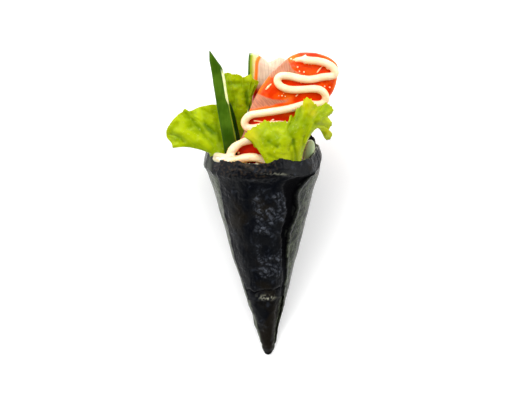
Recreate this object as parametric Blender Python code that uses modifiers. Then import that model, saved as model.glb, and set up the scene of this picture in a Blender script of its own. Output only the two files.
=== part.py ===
"""Temaki hand roll, lying down with its filled side up.

A cone of rolled nori holds rice, three lettuce leaves, four pieces of cucumber and two pieces of
crab stick, with a zigzag of mayonnaise over the front piece.

Sizes are in millimetres in the cone's own frame, and place() turns them into metres in the world:
a runs across to the right, b runs along the cone's axis and out of its mouth, and c points at the
shown side. The world's Z is up, its Y points from the tip to the fillings, and its origin is on
the flat strip that the roll rests on.
"""
import math

import bmesh
import bpy
from mathutils import Vector, noise

MM = 0.001
NAME = "temaki_hand_roll"

# The cone's frame
AXIS_TILT = math.radians(15.5)
MOUTH_Y = 26.4
MOUTH_Z = 31.0

# Fits between pieces
GAP = 0.35
SEED_OFFSET = 7.3

# The nori wrap: (distance along the axis, outer radius) from the tip to the rim
CONE_PROFILE = (
    (-118.5, 0.0), (-117.8, 1.8), (-115.0, 3.3), (-109.5, 4.6), (-104.0, 5.7), (-98.0, 7.9),
    (-84.5, 11.6), (-83.9, 11.8), (-70.0, 15.6), (-56.0, 19.4), (-39.0, 23.7), (-22.0, 27.9),
    (-13.0, 30.8), (-6.0, 33.2), (-1.0, 32.7), (4.0, 31.4),
)
INNER_END = -110.0
COLLAR_START = -13.0
RIM_LEVEL = 4.0
TIP_LEAN = 2.4
TIP_LEAN_LENGTH = 105.0
WALL = 0.6
WRAP_STEP = 0.8
WRAP_END = -84.2
OUTER_EDGE = math.radians(-60.0)
INNER_EDGE = math.radians(45.0)
INNER_EDGE_WIDTH = math.radians(8.6)
OUTER_EDGE_WIDTH = math.radians(0.06)
WRAP_COLUMNS = 37

# Rim height round the mouth: (degrees from the shown side towards the right, distance b)
RIM_HEIGHTS = (
    (-70, 2.7), (-58, 0.0), (-48, 0.8), (-35, 0.7), (-24, 1.9), (-8, 1.2), (4, 1.5), (16, 3.8),
    (37, 1.1), (53, 1.2), (64, 2.4), (78, 4.8), (95, 3.0), (107, 2.4), (114, 4.8), (125, 6.6),
    (140, 4.4), (160, 3.4), (180, 4.2), (215, 2.5), (250, 2.4), (271, 0.9), (281, 1.4), (290, 2.7),
)

# The rice
RICE_END = -109.0
RICE_LEVEL = -3.0
RICE_LEFT_RISE = 3.4
RICE_LEFT_START = 12.0
RICE_LEFT_RUN = 14.0
RICE_BUMP = 1.1
RICE_BUMP_SIZE = 6.0
RICE_SHOULDER = 0.6
RICE_RINGS = 5

# Leaves. Starts and runs are shares of the leaf's width or length.
LEFT_LIFT = 2.4
LEFT_DROOP = 4.5
LEFT_LOBE_START = 0.45
LEFT_LOBE_RUN = 0.55
BACK_LIFT = 1.0
BACK_TIP_LIFT = 5.0
BACK_TIP_START = 0.62
BACK_TIP_RUN = 0.38
FRONT_HOLLOW = 2.6
FRONT_BULGE = 7.5
FRONT_BULGE_START = 0.1
FRONT_BULGE_RUN = 0.35
FRONT_DROOP = 15.0
FRONT_DROOP_START = 0.3
FRONT_DROOP_RUN = 0.6
FRONT_WING_START = 0.8
FRONT_WING_RUN = 0.2
LEAF_THICKNESS = 0.8
LEAF_COLUMNS = 18
STEM_ROWS = 2
BLADE_ROWS = 7

# Sticks: rows of (b, left a, right a, highest c, thickness)
CRAB_FRONT = (
    (-34.0, -7.5, 8.5, 9.0, 6.0), (-20.0, -10.0, 12.0, 12.5, 8.0), (-3.0, -11.5, 14.5, 16.4, 9.0),
    (13.0, -10.9, 23.0, 18.2, 9.5), (27.0, -7.1, 31.0, 18.6, 9.5), (37.0, -2.4, 37.6, 19.0, 9.5),
    (45.0, 3.0, 39.8, 18.2, 9.0), (51.0, 9.2, 39.6, 16.6, 8.0), (55.0, 14.0, 35.0, 14.4, 6.0),
    (57.2, 19.0, 28.5, 12.8, 3.4),
)
CRAB_BACK = (
    (-32.0, -5.0, 8.5, 2.5, 7.5), (-12.0, -6.2, 12.0, 4.8, 9.3), (14.0, -6.9, 14.7, 6.3, 10.0),
    (43.0, -4.8, 14.2, 5.6, 9.5), (51.5, -4.0, 13.0, 4.6, 8.0), (54.0, -2.4, 9.0, 2.8, 5.0),
)
CUCUMBER_BACK = (
    (-34.0, -6.5, 0.0, -6.0, 6.0), (0.0, -8.0, -0.5, -5.2, 7.0), (40.0, -8.4, -1.0, -4.6, 7.0),
    (53.0, -7.9, -2.0, -4.8, 6.0),
)
CUCUMBER_RIGHT = (
    (-30.0, 15.5, 20.5, 8.0, 5.0), (-10.0, 20.0, 25.6, 12.0, 6.5), (1.0, 21.6, 27.2, 14.0, 7.0),
    (5.0, 22.2, 27.8, 14.0, 6.8), (8.8, 23.4, 27.0, 13.0, 5.0),
)
CUCUMBER_BLADE = (
    (-28.0, -17.5, -11.0, 12.6, 3.0), (2.0, -20.8, -13.6, 15.4, 3.4), (31.0, -25.4, -18.6, 15.6, 3.4),
    (47.6, -27.8, -21.3, 15.6, 3.2), (53.5, -28.8, -24.6, 15.5, 2.6), (59.0, -28.9, -28.3, 15.4, 1.0),
)
CUCUMBER_SECOND = (
    (-28.0, -15.4, -11.9, 8.4, 3.4), (-8.0, -15.0, -12.2, 10.2, 3.6), (2.0, -13.8, -11.8, 11.5, 3.6),
    (10.0, -14.3, -12.3, 13.6, 3.6), (24.0, -17.0, -15.2, 15.0, 3.4), (30.0, -18.0, -17.0, 15.0, 2.8),
)

# The mayonnaise: centre line over the front crab piece as (a, b), from the top end down
MAYO_RADIUS = 1.7
MAYO_LINE = (
    (12.2, 53.4), (15.5, 55.0), (20.4, 55.2), (27.5, 54.6), (33.5, 52.6), (36.6, 49.4), (35.6, 46.2),
    (31.0, 44.8), (24.0, 44.2), (16.5, 45.4), (9.6, 46.4), (6.6, 43.0), (8.4, 39.6), (14.5, 37.8),
    (22.0, 37.6), (29.0, 37.2), (33.6, 34.6), (32.4, 31.2), (26.0, 30.2), (17.5, 29.2), (8.0, 27.2),
    (-1.0, 25.0), (-8.0, 24.2), (-11.2, 21.4), (-9.4, 17.9), (-2.0, 17.8), (7.0, 19.4), (15.0, 19.8),
    (18.6, 17.2), (14.5, 14.2), (5.0, 12.6), (-3.0, 12.0), (-9.6, 10.6), (-14.6, 7.2), (-17.2, 3.0),
    (-13.4, 1.2), (-6.5, 3.2), (-1.4, 1.8), (1.6, -1.0),
)
MAYO_STEP = 2.9
MAYO_LOWEST = 17.2

# Heights c between which the crab piece's top is looked for
PROBE_FROM = 60.0
PROBE_TO = 0.0
NO_FLOOR = -100.0

# Edges turned further than this are sharp
SHARP_ANGLE = math.radians(40.0)


def place(a, b, c, floor=0.0):
    """World position in metres, no lower than the floor."""
    cosine = math.cos(AXIS_TILT)
    sine = math.sin(AXIS_TILT)
    z = MOUTH_Z + b * sine + c * cosine
    return Vector((a, MOUTH_Y + b * cosine - c * sine, max(z, floor))) * MM


def smooth(t):
    """Ease from 0 to 1 as t goes from 0 to 1."""
    t = min(max(t, 0.0), 1.0)
    return t * t * (3.0 - 2.0 * t)


def read(table, x):
    """Straight interpolation in a table of (x, value)."""
    for (x0, y0), (x1, y1) in zip(table, table[1:]):
        if x <= x1:
            return y0 + (y1 - y0) * max(x - x0, 0.0) / (x1 - x0)
    return table[-1][1]


def read_eased(table, x):
    """Interpolation in a table of (x, value) that is level at each entry."""
    for (x0, y0), (x1, y1) in zip(table, table[1:]):
        if x <= x1:
            return y0 + (y1 - y0) * smooth((x - x0) / (x1 - x0))
    return table[-1][1]


def spline_point(points, t):
    """Catmull-Rom curve through rows of numbers, with t from 0 at the first to 1 at the last."""
    last = len(points) - 1
    span = min(int(t * last), last - 1)
    x = t * last - span
    p0, p1, p2, p3 = (points[min(max(span + k, 0), last)] for k in (-1, 0, 1, 2))
    result = []
    for v0, v1, v2, v3 in zip(p0, p1, p2, p3):
        bend = (2 * v0 - 5 * v1 + 4 * v2 - v3) * x + (3 * v1 - v0 - 3 * v2 + v3) * x * x
        result.append(v1 + 0.5 * x * (v2 - v0 + bend))
    return result


def bump(a, b, c, size):
    """Smooth unevenness from -1 to 1 whose hills are about size apart."""
    return noise.noise(Vector((a, b, c)) / size + Vector((SEED_OFFSET, 0.0, 0.0)))


def material(name, colour, roughness, metallic=0.0):
    """A plain Principled material."""
    new = bpy.data.materials.new(name)
    new.use_nodes = True
    shader = new.node_tree.nodes["Principled BSDF"]
    shader.inputs["Base Color"].default_value = (*colour, 1.0)
    shader.inputs["Roughness"].default_value = roughness
    shader.inputs["Metallic"].default_value = metallic
    new.diffuse_color = (*colour, 1.0)
    return new


def add_object(name, mesh, surface, collection):
    """Put a mesh in the collection as an object with one material."""
    obj = bpy.data.objects.new(name, mesh)
    mesh.materials.append(surface)
    collection.objects.link(obj)
    return obj


def mapped_grid(name, columns, rows, place_at, closed):
    """A grid whose vertex in column i and row j is moved to place_at(i, j).

    A closed grid meets itself in its last column, and rows drawn to one point become poles.
    """
    mesh = bpy.data.meshes.new(name)
    bm = bmesh.new()
    bmesh.ops.create_grid(bm, x_segments=columns, y_segments=rows, size=1.0)
    for vert in bm.verts:
        i = round((vert.co.x + 1.0) * columns / 2.0)
        j = round((vert.co.y + 1.0) * rows / 2.0)
        vert.co = place_at(i % columns if closed else i, j)
    bmesh.ops.remove_doubles(bm, verts=bm.verts, dist=0.000001)
    bmesh.ops.recalc_face_normals(bm, faces=bm.faces)
    bm.to_mesh(mesh)
    bm.free()
    mesh.shade_smooth()
    return mesh


# ---------------------------------------------------------------- the nori wrap

def lean(b):
    """How far the cone's middle leans right at b."""
    return TIP_LEAN * (min(b, 0.0) / TIP_LEAN_LENGTH) ** 2


def layers(angle, b):
    """How much of the extra winding lies under the outer surface, from 0 to 1."""
    if b < WRAP_END:
        return 0.0
    turn = (angle - OUTER_EDGE) % math.tau
    crease = (INNER_EDGE - OUTER_EDGE) % math.tau
    if turn < crease:
        return 1.0
    dropped = 0.5 * smooth((turn - crease) / INNER_EDGE_WIDTH)
    return (1.0 - dropped) * (1.0 - (turn - crease) / (math.tau - crease))


def rim_height(angle):
    """Distance b of the rim's edge."""
    start = RIM_HEIGHTS[0][0]
    return read_eased(RIM_HEIGHTS, (math.degrees(angle) - start) % 360.0 + start)


def wall_point(angle, b, inset):
    """Point of the wrap, inset from its outer surface.

    The step at the winding's edges is full at its lower edge and fades out towards the mouth.
    """
    shift = (rim_height(angle) - RIM_LEVEL) * smooth((b - COLLAR_START) / (RIM_LEVEL - COLLAR_START))
    step = WRAP_STEP * (1.0 - layers(angle, b)) * smooth(b / WRAP_END)
    radius = max(read(CONE_PROFILE, b) - step - inset, 0.0)
    a = lean(b) + radius * math.sin(angle)
    return place(a, b + shift, radius * math.cos(angle), floor=inset)


def make_nori(surface, collection):
    """The rolled sheet: a cone cup whose outer winding ends in a low step on the shown side."""
    levels = [b for b, _ in CONE_PROFILE]
    outer = [(b, 0.0) for b in levels]
    inner = [(b, WALL) for b in reversed(levels) if b > INNER_END]
    profile = outer + inner

    def place_at(i, j):
        angle = wrap_angle(i)
        if j == len(profile):
            return place(lean(INNER_END), INNER_END, 0.0)
        b, inset = profile[j]
        return wall_point(angle, b, inset)

    mesh = mapped_grid("nori", WRAP_COLUMNS, len(profile), place_at, closed=True)
    mesh.set_sharp_from_angle(angle=SHARP_ANGLE)
    return add_object("nori", mesh, surface, collection)


def wrap_angle(i):
    """Angle of column i; the first two columns are the foot and the top of the outer edge."""
    if i == 0:
        return OUTER_EDGE - OUTER_EDGE_WIDTH
    return OUTER_EDGE + math.tau * (i - 1) / (WRAP_COLUMNS - 1)


# ---------------------------------------------------------------- the rice

def rice_level(a, c):
    """Uneven height b of the rice at the mouth, higher on the left."""
    left = RICE_LEFT_RISE * smooth((-a - RICE_LEFT_START) / RICE_LEFT_RUN)
    return RICE_LEVEL + left + RICE_BUMP * bump(a, 0.0, c, RICE_BUMP_SIZE)


def make_rice(surface, collection):
    """The packed rice, which fills the cone up to its uneven top."""
    levels = [b for b, _ in CONE_PROFILE if RICE_END < b < RICE_LEVEL]
    inset = WALL + GAP
    columns = WRAP_COLUMNS - 1

    def place_at(i, j):
        angle = OUTER_EDGE + math.tau * i / columns
        if j == 0:
            return place(lean(RICE_END), RICE_END, 0.0)
        if j <= len(levels):
            radius = read(CONE_PROFILE, levels[j - 1]) - WRAP_STEP - inset
            a = lean(levels[j - 1]) + radius * math.sin(angle)
            return place(a, levels[j - 1], radius * math.cos(angle), floor=inset)
        ring = (j - len(levels) - 1) / RICE_RINGS
        edge = read(CONE_PROFILE, RICE_LEVEL) - WRAP_STEP - inset - RICE_SHOULDER
        radius = edge * (1.0 - ring)
        a = radius * math.sin(angle)
        c = radius * math.cos(angle)
        return place(a, rice_level(a, c), c, floor=inset)

    rows = len(levels) + 1 + RICE_RINGS
    mesh = mapped_grid("rice", columns, rows, place_at, closed=True)
    return add_object("rice", mesh, surface, collection)


# ---------------------------------------------------------------- sticks and pieces

def stick_mesh(name, stations, squareness, rows, sides, grow=0.0):
    """A loft through the stations, with sections between an ellipse (1) and a box (0)."""
    first = stations[0][0] - grow
    last = stations[-1][0] + grow

    def place_at(i, j):
        t = min(max((j - 1) / (rows - 2), 0.0), 1.0)
        b, left, right, top, thickness = spline_point(stations, t)
        if t == 0.0:
            b = first
        if t == 1.0:
            b = last
        middle = (left + right) / 2.0
        if j in (0, rows):
            return place(middle, b, top - thickness / 2.0)
        turn = math.tau * i / sides
        across = math.copysign(abs(math.cos(turn)) ** squareness, math.cos(turn))
        up = math.copysign(abs(math.sin(turn)) ** squareness, math.sin(turn))
        a = middle + across * ((right - left) / 2.0 + grow)
        return place(a, b, top - thickness / 2.0 + up * (thickness / 2.0 + grow))

    mesh = mapped_grid(name, sides, rows, place_at, closed=True)
    mesh.set_sharp_from_angle(angle=SHARP_ANGLE)
    return mesh


# ---------------------------------------------------------------- leaves

def left_height(u, v):
    """The left leaf rises to its margin, and its outer lobe turns down."""
    return LEFT_LIFT * v - LEFT_DROOP * v * v * smooth((u - LEFT_LOBE_START) / LEFT_LOBE_RUN)


def back_height(u, v):
    """The back leaf lifts at its right tip."""
    return BACK_LIFT * v + BACK_TIP_LIFT * v * v * smooth((u - BACK_TIP_START) / BACK_TIP_RUN)


def front_height(u, v):
    """The front leaf is hollow at its neck, bulges past the rim, and its right wing droops."""
    hollow = FRONT_HOLLOW * (2.0 * u - 1.0) ** 2 * (1.0 - v)
    bulge = FRONT_BULGE * smooth((v - FRONT_BULGE_START) / FRONT_BULGE_RUN)
    wing = smooth((u - FRONT_WING_START) / FRONT_WING_RUN)
    droop = FRONT_DROOP * wing * smooth((v - FRONT_DROOP_START) / FRONT_DROOP_RUN)
    return bulge - hollow - droop


# neck and stem are (a, b, c). fan and fan_low are the directions of the blade's left and right
# edge, in degrees to the left of b, at the margin and at the neck. reach is its length at even
# steps from its left to its right. The ripple of the margin is frill high, with so many waves.
LEAVES = {
    "lettuce_left": dict(
        neck=(-22.4, 3.6, 8.4), neck_width=3.2, stem=(-19.6, -26.0, 6.0), stem_width=4.0,
        fan=(88.0, 3.0), fan_low=(88.0, 3.0), reach=(24.0, 31.0, 32.0, 30.5, 27.5, 24.5, 22.5),
        height=left_height, frill=1.3, waves=5.5),
    "lettuce_back": dict(
        neck=(-13.2, 8.0, 3.2), neck_width=5.0, stem=(-11.5, -24.0, 1.0), stem_width=5.0,
        fan=(12.0, -17.0), fan_low=(4.0, -2.0), reach=(35.0, 37.5, 35.0, 37.5, 34.5),
        height=back_height, frill=0.7, waves=3.5),
    "lettuce_front": dict(
        neck=(10.6, -3.0, 23.0), neck_width=13.0, stem=(9.5, -26.0, 17.0), stem_width=6.0,
        fan=(34.0, -47.0), fan_low=(30.0, -20.0),
        reach=(22.0, 27.0, 28.0, 29.0, 30.5, 42.0, 37.5, 37.0, 29.0),
        height=front_height, frill=1.2, waves=7.5),
}


def leaf_mesh(name, neck, neck_width, stem, stem_width, fan, fan_low, reach, height, frill, waves,
              grow=0.0):
    """An open sheet: a stem strip up to the neck, then a fan with a frilled margin."""
    reaches = [(length,) for length in reach]
    neck_width = neck_width + 2.0 * grow
    stem_width = stem_width + 2.0 * grow
    stem = (stem[0], stem[1] - grow, stem[2])

    def place_at(i, j):
        u = i / LEAF_COLUMNS
        if j < STEM_ROWS:
            t = j / STEM_ROWS
            width = stem_width + (neck_width - stem_width) * t
            a, b, c = (s + (n - s) * t for s, n in zip(stem, neck))
            return place(a + (u - 0.5) * width, b, c + height(u, 0.0) * t)
        v = (j - STEM_ROWS) / BLADE_ROWS
        wide = fan[0] + (fan[1] - fan[0]) * u
        low = fan_low[0] + (fan_low[1] - fan_low[0]) * u
        angle = math.radians(low + (wide - low) * smooth(v))
        length = spline_point(reaches, u)[0] * v
        ripple = frill * v * v * math.sin(math.tau * waves * u)
        a = neck[0] + (u - 0.5) * neck_width - length * math.sin(angle)
        b = neck[1] + length * math.cos(angle)
        return place(a, b, neck[2] + height(u, v) + ripple)

    return mapped_grid(name, LEAF_COLUMNS, STEM_ROWS + BLADE_ROWS, place_at, closed=False)


def make_leaf(name, shape, surface, collection, grow=0.0):
    """A lettuce leaf with its thickness, or the larger form that clears it."""
    leaf = add_object(name, leaf_mesh(name, **shape, grow=grow), surface, collection)
    solidify = leaf.modifiers.new("thickness", "SOLIDIFY")
    solidify.thickness = (LEAF_THICKNESS + 2.0 * grow) * MM
    solidify.offset = 0.0
    return leaf


# ---------------------------------------------------------------- the mayonnaise

def surface_height(obj, a, b):
    """Highest c of the object at (a, b), or None beside it."""
    start = place(a, b, PROBE_FROM, floor=NO_FLOOR)
    down = place(a, b, PROBE_TO, floor=NO_FLOOR) - start
    hit, where, _, _ = obj.ray_cast(start, down.normalized())
    if not hit:
        return None
    return PROBE_FROM - (where - start).length / MM


def make_mayonnaise(crab, surface, collection):
    """A piped line that lies on the front crab piece and hangs a little past its left side."""
    curve = bpy.data.curves.new("mayonnaise", "CURVE")
    curve.dimensions = "3D"
    curve.bevel_depth = MAYO_RADIUS * MM
    curve.bevel_resolution = 1
    curve.use_fill_caps = True
    length = sum(math.dist(p, q) for p, q in zip(MAYO_LINE, MAYO_LINE[1:]))
    count = round(length / MAYO_STEP)
    spline = curve.splines.new("POLY")
    spline.points.add(count)
    for k, point in enumerate(spline.points):
        a, b = spline_point(MAYO_LINE, k / count)
        under = surface_height(crab, a, b)
        c = max(under or 0.0, MAYO_LOWEST) + GAP + MAYO_RADIUS
        point.co = (*place(a, b, c), 1.0)
    obj = bpy.data.objects.new("mayonnaise", curve)
    curve.materials.append(surface)
    collection.objects.link(obj)
    return obj


# ---------------------------------------------------------------- assembly

# Stations, squareness, rows and sides of each stick
STICKS = {
    "crab_front": (CRAB_FRONT, 0.7, 16, 20),
    "crab_back": (CRAB_BACK, 0.55, 11, 16),
    "cucumber_blade": (CUCUMBER_BLADE, 0.35, 10, 12),
    "cucumber_second": (CUCUMBER_SECOND, 0.4, 8, 12),
    "cucumber_back": (CUCUMBER_BACK, 0.45, 8, 12),
    "cucumber_right": (CUCUMBER_RIGHT, 0.8, 8, 14),
}


def cut_channels(rice, cutters_collection, surface):
    """Cut the rice clear of every filling that runs down into it."""
    cutters = []
    for name, (stations, squareness, rows, sides) in STICKS.items():
        mesh = stick_mesh(name + "_channel", stations, squareness, rows, sides, grow=GAP)
        cutters.append(add_object(name + "_channel", mesh, surface, cutters_collection))
    for name, shape in LEAVES.items():
        cutters.append(make_leaf(name + "_channel", shape, surface, cutters_collection, grow=GAP))
    for cutter in cutters:
        cutter.hide_render = True
        cutter.display_type = "WIRE"
        cut = rice.modifiers.new(cutter.name, "BOOLEAN")
        cut.operation = "DIFFERENCE"
        cut.solver = "EXACT"
        cut.object = cutter


def main():
    for obj in list(bpy.data.objects):
        bpy.data.objects.remove(obj)
    parts = bpy.data.collections.new(NAME)
    cutters = bpy.data.collections.new(NAME + "_cutters")
    bpy.context.scene.collection.children.link(parts)
    bpy.context.scene.collection.children.link(cutters)

    nori = material("nori", (0.012, 0.013, 0.014), 0.45)
    rice = material("rice", (0.70, 0.68, 0.55), 0.5)
    lettuce = material("lettuce", (0.33, 0.50, 0.03), 0.4)
    cucumber = material("cucumber", (0.07, 0.14, 0.015), 0.35)
    crab = material("crab_stick", (0.85, 0.16, 0.03), 0.4)
    mayonnaise = material("mayonnaise", (0.93, 0.82, 0.60), 0.3)
    finishes = {"crab": crab, "cucumber": cucumber}

    make_nori(nori, parts)
    filled = make_rice(rice, parts)
    sticks = {}
    for name, (stations, squareness, rows, sides) in STICKS.items():
        mesh = stick_mesh(name, stations, squareness, rows, sides)
        sticks[name] = add_object(name, mesh, finishes[name.split("_")[0]], parts)
    for name, shape in LEAVES.items():
        make_leaf(name, shape, lettuce, parts)
    cut_channels(filled, cutters, rice)
    bpy.context.view_layer.update()
    make_mayonnaise(sticks["crab_front"], mayonnaise, parts)


main()
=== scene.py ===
"""Looks of a temaki hand roll: a nori cone with rice, lettuce, cucumber, crab stick and mayonnaise.

Sizes are in millimetres in the cone's own frame, which place() turns into metres in the world:
a runs across to the right, b runs along the cone's axis and out of its mouth, and c points at the
shown side. Angles round the cone are degrees from the shown side towards the right.
"""

import math
import random

import bmesh
import bpy
from mathutils import Matrix, Vector, noise
from mathutils.bvhtree import BVHTree


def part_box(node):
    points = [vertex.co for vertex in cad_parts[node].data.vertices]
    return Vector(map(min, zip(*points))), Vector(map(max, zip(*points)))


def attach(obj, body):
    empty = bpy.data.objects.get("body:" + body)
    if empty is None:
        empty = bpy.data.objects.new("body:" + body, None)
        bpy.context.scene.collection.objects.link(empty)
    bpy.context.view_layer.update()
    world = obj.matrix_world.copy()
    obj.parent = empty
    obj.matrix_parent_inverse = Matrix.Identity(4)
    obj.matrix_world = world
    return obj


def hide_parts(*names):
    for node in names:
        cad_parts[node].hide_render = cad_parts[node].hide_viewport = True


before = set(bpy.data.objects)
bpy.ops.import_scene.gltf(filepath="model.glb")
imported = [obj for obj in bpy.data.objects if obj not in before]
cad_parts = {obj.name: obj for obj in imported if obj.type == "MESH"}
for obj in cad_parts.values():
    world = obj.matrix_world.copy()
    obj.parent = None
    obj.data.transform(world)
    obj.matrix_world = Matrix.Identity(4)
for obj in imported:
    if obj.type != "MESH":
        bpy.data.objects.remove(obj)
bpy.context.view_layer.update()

MM = 0.001

# -------------------- the cone's frame

AXIS_TILT = math.radians(15.5)
# How far the box of the wrap reaches past the middle of the mouth
WRAP_PAST_Y = 12.1
WRAP_PAST_Z = 30.8
WRAP_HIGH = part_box("nori")[1]
MOUTH_Y = WRAP_HIGH.y / MM - WRAP_PAST_Y
MOUTH_Z = WRAP_HIGH.z / MM - WRAP_PAST_Z

# Distance along the axis and outer radius, from the tip to the rim
CONE_PROFILE = (
    (-118.5, 0), (-117.8, 1.8), (-115, 3.3), (-109.5, 4.6), (-104, 5.7), (-98, 7.9),
    (-84.2, 11.7), (-70, 15.6), (-56, 19.4), (-39, 23.7), (-22, 27.9),
    (-13, 30.8), (-6, 33.2), (-1, 32.7), (4, 31.4),
)
# Distance b at which the rim's waves begin, and of the rim before its waves
COLLAR_START = -13
RIM_LEVEL = 4
# How far the tip leans right, and over which length
TIP_LEAN = 2.4
TIP_LEAN_LENGTH = 105

# Rim height round the mouth, in degrees and millimetres
RIM_HEIGHTS = (
    (-70, 2.7), (-65, 2), (-60, -1.1), (-54, 0.1), (-48, 0.8), (-35, 0.7), (-24, 1.9), (-18, 0.9),
    (-10, 1.4), (-6, 1), (4, 1.5), (16, 3.8), (37, 1.1), (53, 1.2), (64, 2.4), (78, 4.8), (95, 3),
    (107, 2.4), (114, 4.8), (125, 7), (140, 4.4), (160, 3.4), (180, 4.2), (215, 2.5), (250, 2.4),
    (271, 0.9), (281, 1.4), (290, 2.7),
)


def place(a, b, c, floor=0):
    """World position in metres, no lower than the floor."""
    cosine = math.cos(AXIS_TILT)
    sine = math.sin(AXIS_TILT)
    z = MOUTH_Z + b * sine + c * cosine
    return Vector((a, MOUTH_Y + b * cosine - c * sine, max(z, floor))) * MM


def smooth(t):
    """Ease from 0 to 1 as t goes from 0 to 1."""
    t = min(max(t, 0), 1)
    return t * t * (3 - 2 * t)


def rise(x, start, run):
    """Ease from 0 to 1 over a run of x that begins at start."""
    return smooth((x - start) / run)


def fall(x, end, run):
    """Ease from 1 to 0 over a run of x that stops at end."""
    return smooth((end - x) / run)


def bell(x, width):
    """A bell curve of height 1 and the given half width."""
    return math.exp(-(x / width) ** 2)


def read(table, x):
    """Straight interpolation in a table of (x, value)."""
    for (x0, y0), (x1, y1) in zip(table, table[1:]):
        if x <= x1:
            return y0 + (y1 - y0) * max(x - x0, 0) / (x1 - x0)
    return table[-1][1]


def read_eased(table, x):
    """Interpolation in a table of (x, value) that is level at each entry."""
    for (x0, y0), (x1, y1) in zip(table, table[1:]):
        if x <= x1:
            return y0 + (y1 - y0) * smooth((x - x0) / (x1 - x0))
    return table[-1][1]


def spline_point(points, t):
    """Catmull-Rom curve through rows of numbers, with t from 0 at the first to 1 at the last."""
    last = len(points) - 1
    span = min(int(t * last), last - 1)
    x = t * last - span
    p0, p1, p2, p3 = (points[min(max(span + k, 0), last)] for k in (-1, 0, 1, 2))
    result = []
    for v0, v1, v2, v3 in zip(p0, p1, p2, p3):
        bend = (2 * v0 - 5 * v1 + 4 * v2 - v3) * x + (3 * v1 - v0 - 3 * v2 + v3) * x * x
        result.append(v1 + 0.5 * x * (v2 - v0 + bend))
    return result


def bump(x, y, z, size, seed=0):
    """Smooth unevenness from about -1 to 1 whose hills are about size apart."""
    return noise.noise(Vector((x / size + seed, y / size - seed, z / size)))


# -------------------- meshes

def paint(mesh, name, values):
    """Store a number for each vertex of the mesh."""
    mesh.attributes.new(name, "FLOAT", "POINT").data.foreach_set("value", values)


def grid_mesh(name, columns, rows, place_at, closed=False, painted=None):
    """A smooth grid whose vertex in column i and row j is at place_at(i, j).

    painted holds lists of numbers by name, which place_at fills one vertex at a time.
    """
    across = columns if closed else columns + 1
    verts = [place_at(i, j) for j in range(rows + 1) for i in range(across)]
    faces = []
    for j in range(rows):
        for i in range(columns):
            k = (i + 1) % across
            faces.append((j * across + i, j * across + k, (j + 1) * across + k, (j + 1) * across + i))
    mesh = bpy.data.meshes.new(name)
    mesh.from_pydata(verts, [], faces)
    for label, values in (painted or {}).items():
        paint(mesh, label, values)
    bm = bmesh.new()
    bm.from_mesh(mesh)
    bmesh.ops.remove_doubles(bm, verts=bm.verts, dist=0.000001)
    bmesh.ops.recalc_face_normals(bm, faces=bm.faces)
    bm.to_mesh(mesh)
    bm.free()
    mesh.shade_smooth()
    return mesh


def new_object(name, data):
    """An object of the scene that holds the data."""
    made = bpy.data.objects.new(name, data)
    bpy.context.scene.collection.objects.link(made)
    return made


def add_piece(name, mesh, surface, slot, *nodes):
    """Show a mesh as a piece of the object that stands for the CAD nodes."""
    piece = new_object(name, mesh)
    mesh.materials.clear()
    mesh.materials.append(surface)
    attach(piece, "root")
    if nodes:
        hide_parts(*nodes)
    return piece


def apply_modifiers(piece):
    """Turn the piece's evaluated shape into its mesh."""
    graph = bpy.context.evaluated_depsgraph_get()
    mesh = bpy.data.meshes.new_from_object(piece.evaluated_get(graph))
    piece.modifiers.clear()
    piece.data = mesh


def thicken(piece, thickness, offset):
    """Give an open sheet its thickness."""
    solidify = piece.modifiers.new("thickness", "SOLIDIFY")
    solidify.thickness = thickness * MM
    solidify.offset = offset
    solidify.use_rim = True
    bpy.context.view_layer.update()
    apply_modifiers(piece)


# -------------------- material nodes

def srgb(red, green, blue):
    """Linear colour from screen values of 0 to 255."""
    linear = []
    for value in (red, green, blue):
        value /= 255
        linear.append(value / 12.92 if value <= 0.04045 else ((value + 0.055) / 1.055) ** 2.4)
    return (*linear, 1)


class Nodes:
    """A node tree that is filled with short calls.

    A socket's value is a number, a vector, another node's output, or for a colour three screen
    values of 0 to 255.
    """

    def __init__(self, tree):
        self.nodes = tree.nodes
        self.links = tree.links

    def feed(self, socket, value):
        """Link a socket or give it a constant."""
        if isinstance(value, bpy.types.NodeSocket):
            self.links.new(value, socket)
        else:
            socket.default_value = srgb(*value) if socket.type == "RGBA" else value

    def node(self, kind, values, **settings):
        """A node with its settings, and its sockets' values by name or number."""
        node = self.nodes.new("ShaderNode" + kind)
        for setting, value in settings.items():
            setattr(node, setting, value)
        for socket, value in values.items():
            self.feed(node.inputs[socket], value)
        return node

    def ramp(self, value, low, high, to_low=0, to_high=1):
        """Map low..high to to_low..to_high with eased ends."""
        values = {"Value": value, "From Min": low, "From Max": high, "To Min": to_low,
                  "To Max": to_high}
        return self.node("MapRange", values, interpolation_type="SMOOTHSTEP").outputs["Result"]


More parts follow.
